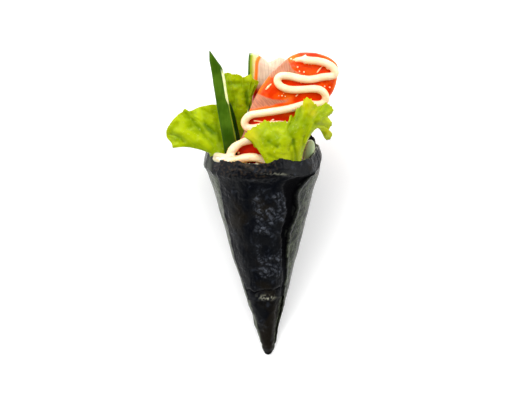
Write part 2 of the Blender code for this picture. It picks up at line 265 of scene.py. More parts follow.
class Surface(Nodes):
    """A material whose coordinates are millimetres."""

    def __init__(self, name, **sockets):
        self.material = bpy.data.materials.new(name)
        self.material.use_nodes = True
        super().__init__(self.material.node_tree)
        self.shader = self.nodes["Principled BSDF"]
        for socket, value in sockets.items():
            self.shader.inputs[socket.replace("_", " ")].default_value = value
        metres = self.node("TexCoord", {}).outputs["Object"]
        scaling = self.node("VectorMath", {0: metres, "Scale": 1 / MM}, operation="SCALE")
        self.millimetres = scaling.outputs["Vector"]

    def set(self, socket, value):
        """Link an output to one of the shader's sockets."""
        self.links.new(value, self.shader.inputs[socket])

    def stored(self, name):
        """A number painted on the vertices."""
        return self.node("Attribute", {}, attribute_name=name).outputs["Fac"]

    def stretched(self, scale, rotation=(0, 0, 0)):
        """Coordinates turned by rotation in degrees and then scaled."""
        turns = [math.radians(angle) for angle in rotation]
        values = {"Vector": self.millimetres, "Rotation": turns, "Scale": scale}
        return self.node("Mapping", values, vector_type="TEXTURE").outputs["Vector"]

    def clouds(self, size, detail=3, rough=0.55, warp=0, vector=None):
        """Noise from 0 to 1 whose hills are about size millimetres."""
        values = {"Vector": vector or self.millimetres, "Scale": 1 / size, "Detail": detail,
                  "Roughness": rough, "Distortion": warp}
        return self.node("TexNoise", values).outputs["Fac"]

    def math(self, operation, first, second):
        """A Math node."""
        return self.node("Math", {0: first, 1: second}, operation=operation).outputs["Value"]

    def times(self, first, second):
        """Multiply two numbers."""
        return self.math("MULTIPLY", first, second)

    def mix(self, factor, first, second):
        """Mix two colours."""
        return self.node("Mix", {0: factor, 6: first, 7: second}, data_type="RGBA").outputs[2]

    def layered(self, base, *layers):
        """Lay colours over a base: rows of a mask or a painted name, its share and the colour."""
        for mask, share, colour in layers:
            if isinstance(mask, str):
                mask = self.stored(mask)
            base = self.mix(mask if share == 1 else self.times(mask, share), base, colour)
        return base

    def relief(self, height, distance, strength=1, below=None):
        """A bump of the given depth in millimetres, on top of another one."""
        values = {"Height": height, "Distance": distance * MM, "Strength": strength}
        if below is not None:
            values["Normal"] = below
        return self.node("Bump", values).outputs["Normal"]

    def glow_through(self, share, colour):
        """Let part of the light through the surface."""
        through = self.node("BsdfTranslucent", {"Color": colour})
        mixer = self.node("MixShader", {0: share, 1: self.shader.outputs[0], 2: through.outputs[0]})
        self.links.new(mixer.outputs[0], self.nodes["Material Output"].inputs["Surface"])


# -------------------- materials

def nori_surface():
    """Pressed seaweed: near black, mottled blue and brown, with fine grain and glossy blisters, with
    painted sheen on the flanks, painted shade in the groove and crease, and painted glints.
    """
    s = Surface("nori", Specular_IOR_Level=0.07)
    mottle = s.ramp(s.clouds(9, 4, 0.6), 0.35, 0.65)
    brown = s.ramp(s.clouds(14, 3, 0.5, vector=s.stretched((1, 1.7, 1))), 0.5, 0.66)
    grain = s.clouds(0.9, 4, 0.7, vector=s.stretched((1, 1.6, 1)))
    speckle = s.clouds(1.2, 4, 0.75, vector=s.stretched((1, 1.9, 1)))
    bloom_and_sheen = s.ramp(s.clouds(6, 4, 0.65, 0.6), 0.56, 0.74)
    streaks = s.ramp(s.clouds(1.1, 3, vector=s.stretched((1, 4, 1))), 0.35, 0.65)
    slanted = s.clouds(1.6, 4, 0.8, 0.8, vector=s.stretched((1, 3, 1.6), (0, 0, -25)))
    crumple = s.ramp(s.clouds(1.8, 4, 0.7, 0.6), 0.4, 0.6, 0.1, 1)
    base = s.layered(
        s.mix(mottle, (11, 13, 18), (21, 22, 24)),
        (brown, 1, (26, 23, 19)),
        # Grey-blue patches: partly the sheet's own bloom, partly painted sheen on the glossy sheet
        (bloom_and_sheen, 0.7, (46, 50, 58)),
        (s.ramp(speckle, 0.58, 0.74, 0, 0.16), 1, (70, 70, 62)),
        # Painted sheen: the left flank and the collar's far left lighter grey-green, as the glossy
        # sheet looks at a grazing angle
        ("left_side_sheen", 1, s.mix(streaks, (58, 62, 54), (98, 102, 90))),
        # Painted sheen: streaky lighter grey-green on the right flank, seen at a grazing angle
        (s.times(s.stored("right_side_sheen"), s.ramp(slanted, 0.44, 0.62, 0.12, 1)), 1, (80, 86, 70)),
        ("brown", 0.6, (60, 48, 36)),
        # Pale blue-grey on the blister domes: partly their own colour, partly painted sheen
        (s.times(s.stored("blister"), crumple), 1, (80, 84, 92)),
        # Painted shade: near black in the groove left of the pleat's lip and along the crease across
        # the front
        ("groove", 1, (3, 3, 5)),
        # Pale flecks along the rim's right edge, with painted glints on the lifted lower edge and on
        # the ridge under the collar
        ("rim_flecks_and_glints", 1, (158, 158, 140)))
    s.set("Base Color", base)
    gloss = s.ramp(s.clouds(2.4, 3), 0.35, 0.7, 0.08, 0.24)
    s.set("Roughness", s.math("MAXIMUM", gloss, s.times(s.stored("groove"), 1.6)))
    fine = s.relief(grain, 0.1, 0.6)
    s.set("Normal", s.relief(s.clouds(3, 3, 0.55, 0.5), 0.5, 1, below=fine))
    return s.material


def rice_surface():
    """Cooked grains: moist, cream white, a little clear."""
    s = Surface("rice", Roughness=0.36, Subsurface_Weight=0.2, Subsurface_Scale=0.001)
    tone = s.ramp(s.clouds(3.5, 2), 0.35, 0.65)
    s.set("Base Color", s.mix(tone, (226, 219, 190), (243, 238, 218)))
    s.set("Normal", s.relief(s.clouds(0.8, 2), 0.06, 0.5))
    return s.material


def lettuce_surface():
    """Thin leaf: yellow-green with pale ribs and a yellow margin; painted light on its swells, foot and
    lit spots, painted shade in its hollows, and painted glints.
    """
    s = Surface("lettuce", Roughness=0.22, Specular_IOR_Level=0.13)
    tone = s.ramp(s.clouds(7, 3, 0.5), 0.34, 0.66)
    base = s.layered(
        s.mix(tone, (154, 180, 4), (178, 198, 6)),
        # Painted light on the swells and the foot, and painted shade in the hollows
        ("light", 0.7, (206, 220, 20)),
        ("hollow", 0.85, (88, 126, 0)),
        # Painted light in round spots on the drooping wing and low on the front leaf
        ("lit_spots", 0.7, (226, 238, 50)),
        ("rib", 0.25, (212, 222, 80)),
        # Painted glints: small pale flecks scattered over the leaf
        (s.ramp(s.clouds(1.3, 2, 0.5, 0.8), 0.62, 0.72, 0, 0.4), 1, (226, 234, 110)),
        ("tip", 1, (214, 210, 8)))
    s.set("Base Color", base)
    fine = s.relief(s.clouds(0.8, 2, 0.5), 0.05, 0.4)
    s.set("Normal", s.relief(s.clouds(2.6, 2, 0.45), 0.35, 0.5, below=fine))
    s.glow_through(0.4, s.mix(0.4, base, (206, 218, 6)))
    return s.material


def cucumber_surface():
    """Dark green skin with paler streaks over wet pale flesh."""
    s = Surface("cucumber", Roughness=0.3, Specular_IOR_Level=0.2, Subsurface_Weight=0.12,
                Subsurface_Scale=0.0012)
    along = s.stretched((1, 9, 9), (15.5, 0, 0))
    streak = s.ramp(s.clouds(0.9, 3, vector=along), 0.4, 0.66)
    depth = s.ramp(s.clouds(9, 2), 0.35, 0.65)
    skin = s.layered(
        s.mix(depth, (50, 84, 4), (74, 108, 16)),
        (streak, 0.14, (100, 134, 40)),
        ("low", 1, (18, 46, 0)))
    green = s.layered(
        s.mix(s.ramp(s.clouds(2, 2), 0.3, 0.7), (226, 234, 154), (240, 244, 194)),
        ("pale", 1, (158, 172, 128)),
        ("rind", 1, (164, 190, 40)))
    s.set("Base Color", s.mix(s.stored("skin"), green, skin))
    s.set("Normal", s.relief(s.clouds(1.4, 3), 0.1, 0.5))
    return s.material


def crab_surface():
    """Crab stick: a wet orange-red outside that gives way to pale fibres."""
    s = Surface("crab_stick", Roughness=0.3, Specular_IOR_Level=0.12, Subsurface_Weight=0.15,
                Subsurface_Scale=0.0012, Subsurface_Radius=(1, 0.3, 0.15), Coat_Weight=0.06,
                Coat_Roughness=0.05)
    straight = s.clouds(0.62, 3, 0.6, vector=s.stretched((1, 16, 16), (0, 0, 4)))
    slant = s.clouds(0.75, 3, 0.6, 0.4, vector=s.stretched((1, 7, 7), (0, 0, 40)))
    lines = s.ramp(straight, 0.36, 0.64)
    slants = s.ramp(slant, 0.36, 0.64)
    tone = s.ramp(s.clouds(5, 3), 0.32, 0.68)
    rosy = s.ramp(s.clouds(3, 2, vector=s.stretched((1, 12, 12))), 0.45, 0.62)
    white = s.mix(lines, (204, 180, 154), (224, 206, 180))
    base = s.layered(
        s.mix(tone, (220, 50, 0), (242, 82, 4)),
        ("orange", 1, (242, 112, 18)),
        # Deep red low down and at the crown, with painted shade in the slot between mayonnaise lines
        # and on the back piece's left
        ("carmine_and_shade", 1, (200, 30, 0)),
        ("pale", 1, s.mix(lines, (166, 106, 76), (188, 128, 96))),
        ("mauve", 1, s.mix(slants, (176, 110, 86), (206, 134, 98))),
        ("white", 1, s.layered(white, (rosy, 0.35, (216, 172, 146)))))
    s.set("Base Color", base)
    fine = s.relief(straight, 0.05, 0.4)
    s.set("Normal", s.relief(s.clouds(3.2, 3, 0.55), 0.26, 0.5, below=fine))
    return s.material


def mayonnaise_surface():
    """Glossy cream with soft peach shade."""
    s = Surface("mayonnaise", Roughness=0.3, Specular_IOR_Level=0.4, Subsurface_Weight=0.5,
                Subsurface_Scale=0.0026, Subsurface_Radius=(1, 0.55, 0.28))
    tone = s.ramp(s.clouds(4, 2), 0.3, 0.7)
    base = s.mix(tone, (254, 219, 176), (254, 226, 192))
    s.set("Base Color", s.layered(
        base, ("shade", 1, (250, 188, 122)), ("dull", 1, (200, 188, 150))))
    s.set("Normal", s.relief(s.clouds(1.4, 3), 0.14, 0.5))
    return s.material


def juice_glint_surface():
    """Small wet drops and threads, pale so that they also stand as painted highlights."""
    s = Surface("juice", Roughness=0.12, Specular_IOR_Level=0.6, Subsurface_Weight=0.3,
                Subsurface_Scale=0.001)
    tone = s.ramp(s.clouds(1.5, 2), 0.3, 0.7)
    s.set("Base Color", s.mix(tone, (255, 206, 150), (255, 228, 186)))
    return s.material


# -------------------- the nori sheet

SHEET_THICKNESS = 0.4
# How far an inner winding lies under the outer one
LAYER_STEP = 0.8
# Degrees: where the outer edge lies, how far the sheet is wound, and from where it is covered
OUTER_EDGE = -60
TURNS = 520
OVERLAP_START = 360
SHEET_ROWS = 176
# Winding angle and mesh column: columns are dense where the outer winding shows
SHEET_COLUMNS = ((0, 0), (185, 206), (338, 240), (362, 260), (520, 280))
# Where the outer winding's free edge lies on the left: distance b and degrees
LEFT_EDGE = ((-84, -54), (-65, -58.5), (-40, -57.5), (-15, -51), (0, -48))
# Lower edge of the outer winding: winding angle and distance b
SHEET_BOTTOM = ((0, -83.5), (40, -83), (78, -82.4), (112, -81), (150, -118.5))
# The pleat down the right of the front: b, degrees of its raised lip, then half width in degrees
# and depth in millimetres of the groove beside the lip
PLEAT = (
    (-112, 52, 4, 0), (-100, 52, 4, 0.3), (-92.7, 53, 4, 0.4), (-84, 50, 4, 0.4),
    (-70.6, 50, 4, 0.5), (-62, 42, 5, 0.6), (-54, 37, 4, 1), (-46, 36, 4.5, 1.5),
    (-40, 34.5, 5, 1.9), (-35, 38.5, 6, 2.1), (-29, 42.5, 7, 2.3), (-25, 41, 7, 2.3),
    (-20, 36.5, 6, 2.2), (-16, 38, 8, 2.2), (-12, 44, 12, 2), (-9, 50, 14, 1.4),
    (-5, 54, 10, 0),
)
# Lower edge of the lip that the rim is folded into: degrees and distance b
LIP_EDGE = (
    (-40, 3), (-20, 0.5), (0, -2.8), (18, -5.4), (32, -6.6), (44, -8.6), (60, -8.2),
    (76, -5), (92, -1), (108, 3),
)
# Distance b of the crease across the front
CREASE = -76.5
# Degrees from the shown side at which the painted grazing sheen on the flanks has faded out
FLANK_END = 114
FLANK_FADE = 46


def lean(b):
    """How far the cone's middle leans right at b."""
    return TIP_LEAN * (min(b, 0) / TIP_LEAN_LENGTH) ** 2


def around(angle):
    """The angle from -180 to 180 degrees."""
    return (angle + 180) % 360 - 180


def rim_height(angle):
    """Distance b of the rim's edge."""
    return read_eased(RIM_HEIGHTS, (angle + 70) % 360 - 70)


def pleat_at(b):
    """Degrees of the pleat's lip, and half width and depth of its groove, at b."""
    lip, width, depth = (read([(row[0], row[k]) for row in PLEAT], b) for k in (1, 2, 3))
    return lip + 1.6 * bump(b, 0, 0, 2.6, 8.8) + 0.8 * bump(b, 0, 0, 0.9, 8.2), width, depth


def groove_of(turned, b):
    """Strength from 0 to 1 of the groove left of the pleat's lip."""
    lip, width, _ = pleat_at(b)
    off = turned - lip
    if off > 0:
        return bell(off, 1.2)
    return smooth((off + 2.3 * width) / (1.1 * width))


def blister(turned, b):
    """Raised spots from 0 to 1, in a patch down the middle right of the front."""
    patch = rise(b, -76, 8) * fall(b, -11, 8)
    patch *= rise(turned, -16, 12) * fall(turned, 36, 8)
    if patch < 0.02:
        return 0
    arc = math.radians(turned) * read(CONE_PROFILE, b)
    dense = bump(arc, b, 0, 7, 4.2) + 0.4 * bell(b + 57, 7) + 0.5 * bell(b + 28, 9)
    cluster = rise(dense, -0.1, 0.45)
    wander = 0.9 * bump(arc, b, 0, 3.6, 6.6)
    spots = noise.voronoi(Vector((arc / 3.2 + wander, b / 3.2 - wander, 1.7)))[0]
    dome = smooth((spots[1] - spots[0]) / 0.42)
    return patch * cluster * dome * smooth(0.8 + bump(arc, b, 0, 2.8, 7.9))


def crease_at(turned, b):
    """Distance b of the crease across the front, near the tip."""
    arc = math.radians(turned) * read(CONE_PROFILE, b)
    return CREASE + 1.5 * bump(arc, 0, 0, 4, 2.2) + 0.7 * bump(arc, 0, 0, 1.4, 3.2) + 0.03 * turned


def rim_wrinkles(turned, b):
    """Small curled folds in the rim's front left, from -1 to 1."""
    share = rise(b, -9, 7) * rise(turned, -66, 10) * fall(turned, 24, 20)
    arc = turned * 0.55
    return share * (bump(arc, b * 0.8, 0, 1.5, 6.1) + 0.6 * bump(arc, b, 0, 0.8, 6.9))


def relief_of_nori(angle, b):
    """Height in millimetres of folds, dents, wrinkles and blisters over the plain cone."""
    turned = around(angle)
    radius = read(CONE_PROFILE, b)
    arc = math.radians(turned) * radius
    body = rise(b, -117, 10)
    share = min(abs(turned + 6) / 44, 1)
    flat = -0.045 * radius * math.cos(math.radians(90 * share)) ** 2
    height = flat * rise(b, -116, 20) * fall(b, -1, 9)
    side = math.sin(math.radians(turned)) * radius
    up = math.cos(math.radians(turned)) * radius
    height += 0.5 * body * bump(side, b * 0.7, up, 13, 1.3)
    height += 0.24 * body * bump(side, b * 0.6, up, 4.2, 2.9)
    height += 0.12 * body * bump(arc * 2.2, b * 0.5, 0, 2.6, 5.1)
    lip, _, depth = pleat_at(b)
    height -= depth * groove_of(turned, b)
    height += 0.7 * min(depth, 1) * rise(turned, lip, 1.2) * fall(turned, lip + 9, 7)
    fold = read_eased(LIP_EDGE, turned) if -40 < turned < 108 else 3
    inside = rise(turned, -34, 24) * fall(turned, 108, 18)
    ragged = fold + 0.7 * bump(arc, 0, 0, 3.5, 6.4)
    height += inside * 0.95 * rise(b, ragged, 0.9)
    height -= 1.3 * rise(turned, 46, 22) * fall(turned, 114, 14) * rise(b, -13, 8)
    height += 0.5 * bell(turned + 84, 24) * rise(b, -11, 8)
    height += inside * 0.35 * bell(b - ragged - 1.6, 1.5)
    height += 0.3 * rim_wrinkles(turned, b)
    height += 0.6 * blister(turned, b)
    crease = crease_at(turned, b)
    height -= 0.6 * bell(b - crease, 1.1) * rise(turned, -60, 10) * fall(turned, 56, 8)
    tip = fall(b, -78, 4)
    height += tip * (0.45 * bump(side, b * 0.7, up, 5, 4.4) + 0.25 * bump(side, b, up, 2.4, 4.8))
    height += 0.5 * bell(turned - 2, 20) * bell(b + 81, 1.4)
    height += 0.35 * bell(b + 100, 9) * math.sin(math.radians(turned * 3 + b * 14))
    height += 0.3 * bell(b + 113.5, 0.7) - 0.25 * bell(b + 111.8, 0.9)
    return height


def sheet_point(turn, share):
    """A point of the sheet, with share from 0 at its lower edge to 1 at the rim.

    Gives (a, b, c), then its degrees round the cone and its b before the rim's waves.
    """
    bottom = read_eased(SHEET_BOTTOM, turn)
    plain = OUTER_EDGE + turn
    arc = math.radians(around(plain)) * 12
    torn = 0.8 * bump(arc, 7, 0, 3, 3.3) if turn < 150 else 0
    b = bottom + torn + (RIM_LEVEL - bottom - torn) * share
    edge = read(LEFT_EDGE, b) + 1.2 * bump(b, 0, 0, 3, 5.5)
    angle = plain + (edge - OUTER_EDGE) * (1 - smooth(turn / 40))
    ragged = 0.45 * bump(arc * 2.6, 0, 0, 2.2, 9.1) + 0.35 * bump(arc * 2.6, 0, 0, 0.8, 9.9)
    wave = rim_height(angle) - RIM_LEVEL + ragged - (0.8 if turn > OVERLAP_START else 0)
    shift = wave * rise(b, COLLAR_START, RIM_LEVEL - COLLAR_START)
    radius = read(CONE_PROFILE, b) + relief_of_nori(angle, b)
    step = smooth(turn / OVERLAP_START) + 0.6 * rise(turn, OVERLAP_START, 8)
    radius -= LAYER_STEP * step * (0.3 + 0.7 * rise(b, -118, 30))
    curl = 0.45 * bell(turn, 3) * (0.6 + 0.6 * bump(b, 0, 0, 4, 7.7))
    radius += curl * fall(b, -2, 8)
    if turn < 140:
        radius += 0.5 * fall(b, bottom + 2.5, 2.5)
    radius = max(radius, 0.25 * (1 - turn / TURNS) + 0.1)
    turned = math.radians(angle)
    point = (lean(b) + radius * math.sin(turned), b + shift, radius * math.cos(turned))
    return point, around(angle), b


def make_nori(surface):
    """The rolled sheet, with its outer edge on the front left and its wavy rim at the mouth."""
    columns = [(column, turn) for turn, column in SHEET_COLUMNS]
    painted = {"left_side_sheen": [], "right_side_sheen": [], "groove": [], "rim_flecks_and_glints": [], "blister": [], "brown": []}

    def place_at(i, j):
        turn = read(columns, i)
        point, turned, b = sheet_point(turn, j / SHEET_ROWS)
        low = fall(b, -4, 8)
        lip, _, depth = pleat_at(b)
        # The painted sheens on both flanks fade out away from the shown side
        shown = fall(abs(turned), FLANK_END, FLANK_FADE)
        # Painted grazing sheen on the left flank beyond the outer edge, weaker on the collar's far left
        collar = 0.4 * fall(turned, -58, 6) * (1 - low)
        left_side_sheen = fall(turned, read(LEFT_EDGE, b) - 1, 1.5) * low
        painted["left_side_sheen"].append(max(left_side_sheen, collar) * shown)
        # Painted shade dims the right flank's painted sheen beside the pleat's lip, high on the cone
        lip_shade = 0.45 + 0.55 * max(smooth((turned - lip - 4) / 16), fall(b, -34, 16))
        painted["right_side_sheen"].append(rise(turned, lip, 1.5) * low * shown * lip_shade)
        # Painted shade along the crease across the front, and in the groove beside the pleat's lip,
        # wider than its hollow
        crease = 0
        if turn < 150:
            patchy = smooth(0.75 + bump(turned * 0.25, b, 0, 3, 5.7))
            crease = 0.9 * patchy * bell(b - crease_at(turned, b), 0.8) * fall(turned, 56, 8)
        painted["groove"].append(max(min(depth, 1) * min(1.8 * groove_of(turned, b), 1), crease))
        fleck = smooth((bump(point[0], b, point[2], 1.3, 2.2) + 0.2) / 0.35)
        # Painted glint on the lifted lower edge of the outer winding
        lip_glint = bell(turned - 4, 17) * bell(b + 80.6, 1.3) if turn < 150 else 0
        rim = 0.7 * rise(b, 2.6, 1.2) * rise(turned, 55, 12) * fall(turned, 120, 20)
        lip_b = read_eased(LIP_EDGE, max(turned, LIP_EDGE[0][0]))
        # Painted glint along the ridge under the collar's fold
        collar_glint = bell(b - lip_b - 0.9, 0.6) * bell(turned - 13, 9)
        painted["rim_flecks_and_glints"].append(max(lip_glint, rim, 0.7 * collar_glint) * fleck)
        painted["blister"].append(blister(turned, b))
        painted["brown"].append(rise(rim_wrinkles(turned, b), 0.05, 0.4) * 0.9)
        return place(*point, floor=0 if turn < OVERLAP_START else LAYER_STEP + 0.4)

    mesh = grid_mesh("nori_sheet", columns[-1][0], SHEET_ROWS, place_at, painted=painted)
    piece = add_piece("nori_sheet", mesh, surface, "nori", "nori")
    thicken(piece, SHEET_THICKNESS, 1)
    for vert in piece.data.vertices:
        vert.co.z = max(vert.co.z, 0)


# -------------------- the rice

# Distance b of the rice's lower end and of its top, and how much higher it is on the left
RICE_END = -108
RICE_LEVEL = -3
RICE_LEFT_RISE = 3.4
# How far the grains and the core stay inside the wrap's outer side
RICE_INSET = 1.6
CORE_INSET = 4.2
GRAIN_LENGTH = 5.4
GRAIN_WIDTH = 2.5
GRAIN_HEIGHT_SHARE = 0.86
# Grains tried; those in a filling or against the wrap are left out
GRAIN_COUNT = 900
GRAIN_CLEARANCE = 1.1
GRAIN_SLACK = 0.5


def rice_level(a, c):
    """Height b of the rice at the mouth, higher on the left."""
    left = RICE_LEFT_RISE * fall(a, -13, 12)
    return RICE_LEVEL + left + 0.8 * bump(a, 0, c, 6, 7.3)


def make_rice_core(surface):
    """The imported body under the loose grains."""
    columns = 72
    walls = 24
    rings = 22

    def place_at(i, j):
        angle = math.tau * i / columns
        if j <= walls:
            b = RICE_END + (RICE_LEVEL - 1.5 - RICE_END) * j / walls
            radius = max(read(CONE_PROFILE, b) - CORE_INSET, 0)
            return place(lean(b) + radius * math.sin(angle), b, radius * math.cos(angle), floor=2)
        ring = (j - walls) / rings
        radius = (read(CONE_PROFILE, RICE_LEVEL) - CORE_INSET) * (1 - ring)
        a = radius * math.sin(angle)
        c = radius * math.cos(angle)
        lumps = 0.7 * bump(a, 3, c, 2.2, 1.1)
        return place(a, rice_level(a, c) - 1.3 + lumps, c, floor=2)

    mesh = grid_mesh("rice_core", columns, walls + rings, place_at, closed=True)
    return add_piece("rice_core", mesh, surface, "rice", "rice")


def grain_shape():
    """Vertices and faces of one plump grain lying along x, about the origin."""
    bm = bmesh.new()
    bmesh.ops.create_uvsphere(bm, u_segments=9, v_segments=7, radius=0.5)
    for vert in bm.verts:
        x = vert.co.z * GRAIN_LENGTH
        y = vert.co.y * GRAIN_WIDTH * (1 + 0.05 * x)
        arch = 0.22 * math.cos(x / GRAIN_LENGTH * math.pi) - 0.1
        vert.co = (x, y, vert.co.x * GRAIN_WIDTH * GRAIN_HEIGHT_SHARE + arch)
    verts = [vert.co.copy() for vert in bm.verts]
    # Sorted, because the sphere's faces come in another order each run
    faces = sorted([vert.index for vert in face.verts] for face in bm.faces)
    bm.free()
    return verts, faces


def fillings_tree():
    """A search tree of every CAD filling."""
    verts = []
    faces = []
    for name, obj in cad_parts.items():
        if name in ("nori", "rice"):
            continue
        start = len(verts)
        verts += [v.co.copy() for v in obj.data.vertices]
        faces += [[start + k for k in polygon.vertices] for polygon in obj.data.polygons]
    return BVHTree.FromPolygons(verts, faces)


def inside_filling(tree, point):
    """True if the point is in a filling or closer to one than a grain's clearance."""
    where, normal, _, distance = tree.find_nearest(point)
    if distance < GRAIN_CLEARANCE * MM:
        return True
    return (point - where).dot(normal) < 0


def off_axis(point):
    """Distance in millimetres of a world point from the cone's axis."""
    y = point.y / MM - MOUTH_Y
    z = point.z / MM - MOUTH_Z
    return math.hypot(point.x / MM, z * math.cos(AXIS_TILT) - y * math.sin(AXIS_TILT))


def make_rice_grains(surface):
    """Grains of cooked rice over the core, wherever no filling stands."""
    draw = random.Random(11)
    shape_verts, shape_faces = grain_shape()
    tree = fillings_tree()
    verts = []
    faces = []
    reach = read(CONE_PROFILE, RICE_LEVEL) - RICE_INSET - 1.2
    for _ in range(GRAIN_COUNT):
        radius = reach * math.sqrt(draw.random())
        angle = draw.random() * math.tau
        a = radius * math.sin(angle)
        c = radius * math.cos(angle)
        b = rice_level(a, c) - 0.9 + 1.3 * draw.random()
        turn = draw.random() * math.tau
        pitch = draw.gauss(0, 0.35)
        scale = draw.uniform(0.86, 1.1)
        centre = place(a, b, c)
        if inside_filling(tree, centre) or centre.z < 4 * MM:
            continue
        tilt = Matrix.Rotation(AXIS_TILT - math.pi / 2, 3, "X") @ Matrix.Rotation(turn, 3, "Z")
        tilt = tilt @ Matrix.Rotation(pitch, 3, "Y") @ Matrix.Rotation(draw.random() * math.tau, 3, "X")
        ends = [Vector((half * GRAIN_LENGTH * scale * MM, 0, 0)) for half in (-0.5, 0.5)]
        if any(off_axis(centre + tilt @ end) > reach + GRAIN_SLACK for end in ends):
            continue
        start = len(verts)
        verts += [centre + tilt @ (v * (scale * MM)) for v in shape_verts]
        faces += [[start + k for k in face] for face in shape_faces]
    mesh = bpy.data.meshes.new("rice_grains")
    mesh.from_pydata(verts, [], faces)
    mesh.shade_smooth()
    return add_piece("rice_grains", mesh, surface, "rice")


# -------------------- the leaves

LEAF_THICKNESS = 0.5
LEAF_COLUMNS = 230
STEM_ROWS = 14
BLADE_ROWS = 86
# Share of a swell's height that is shape; the painted light and shade go by the whole height
SWELL_SHARE = 0.5
# Shares of the margin on both sides that a leaf's inner part is eased over
MARGIN_EASING = (-0.05, -0.03, -0.01, 0.01, 0.03, 0.05)

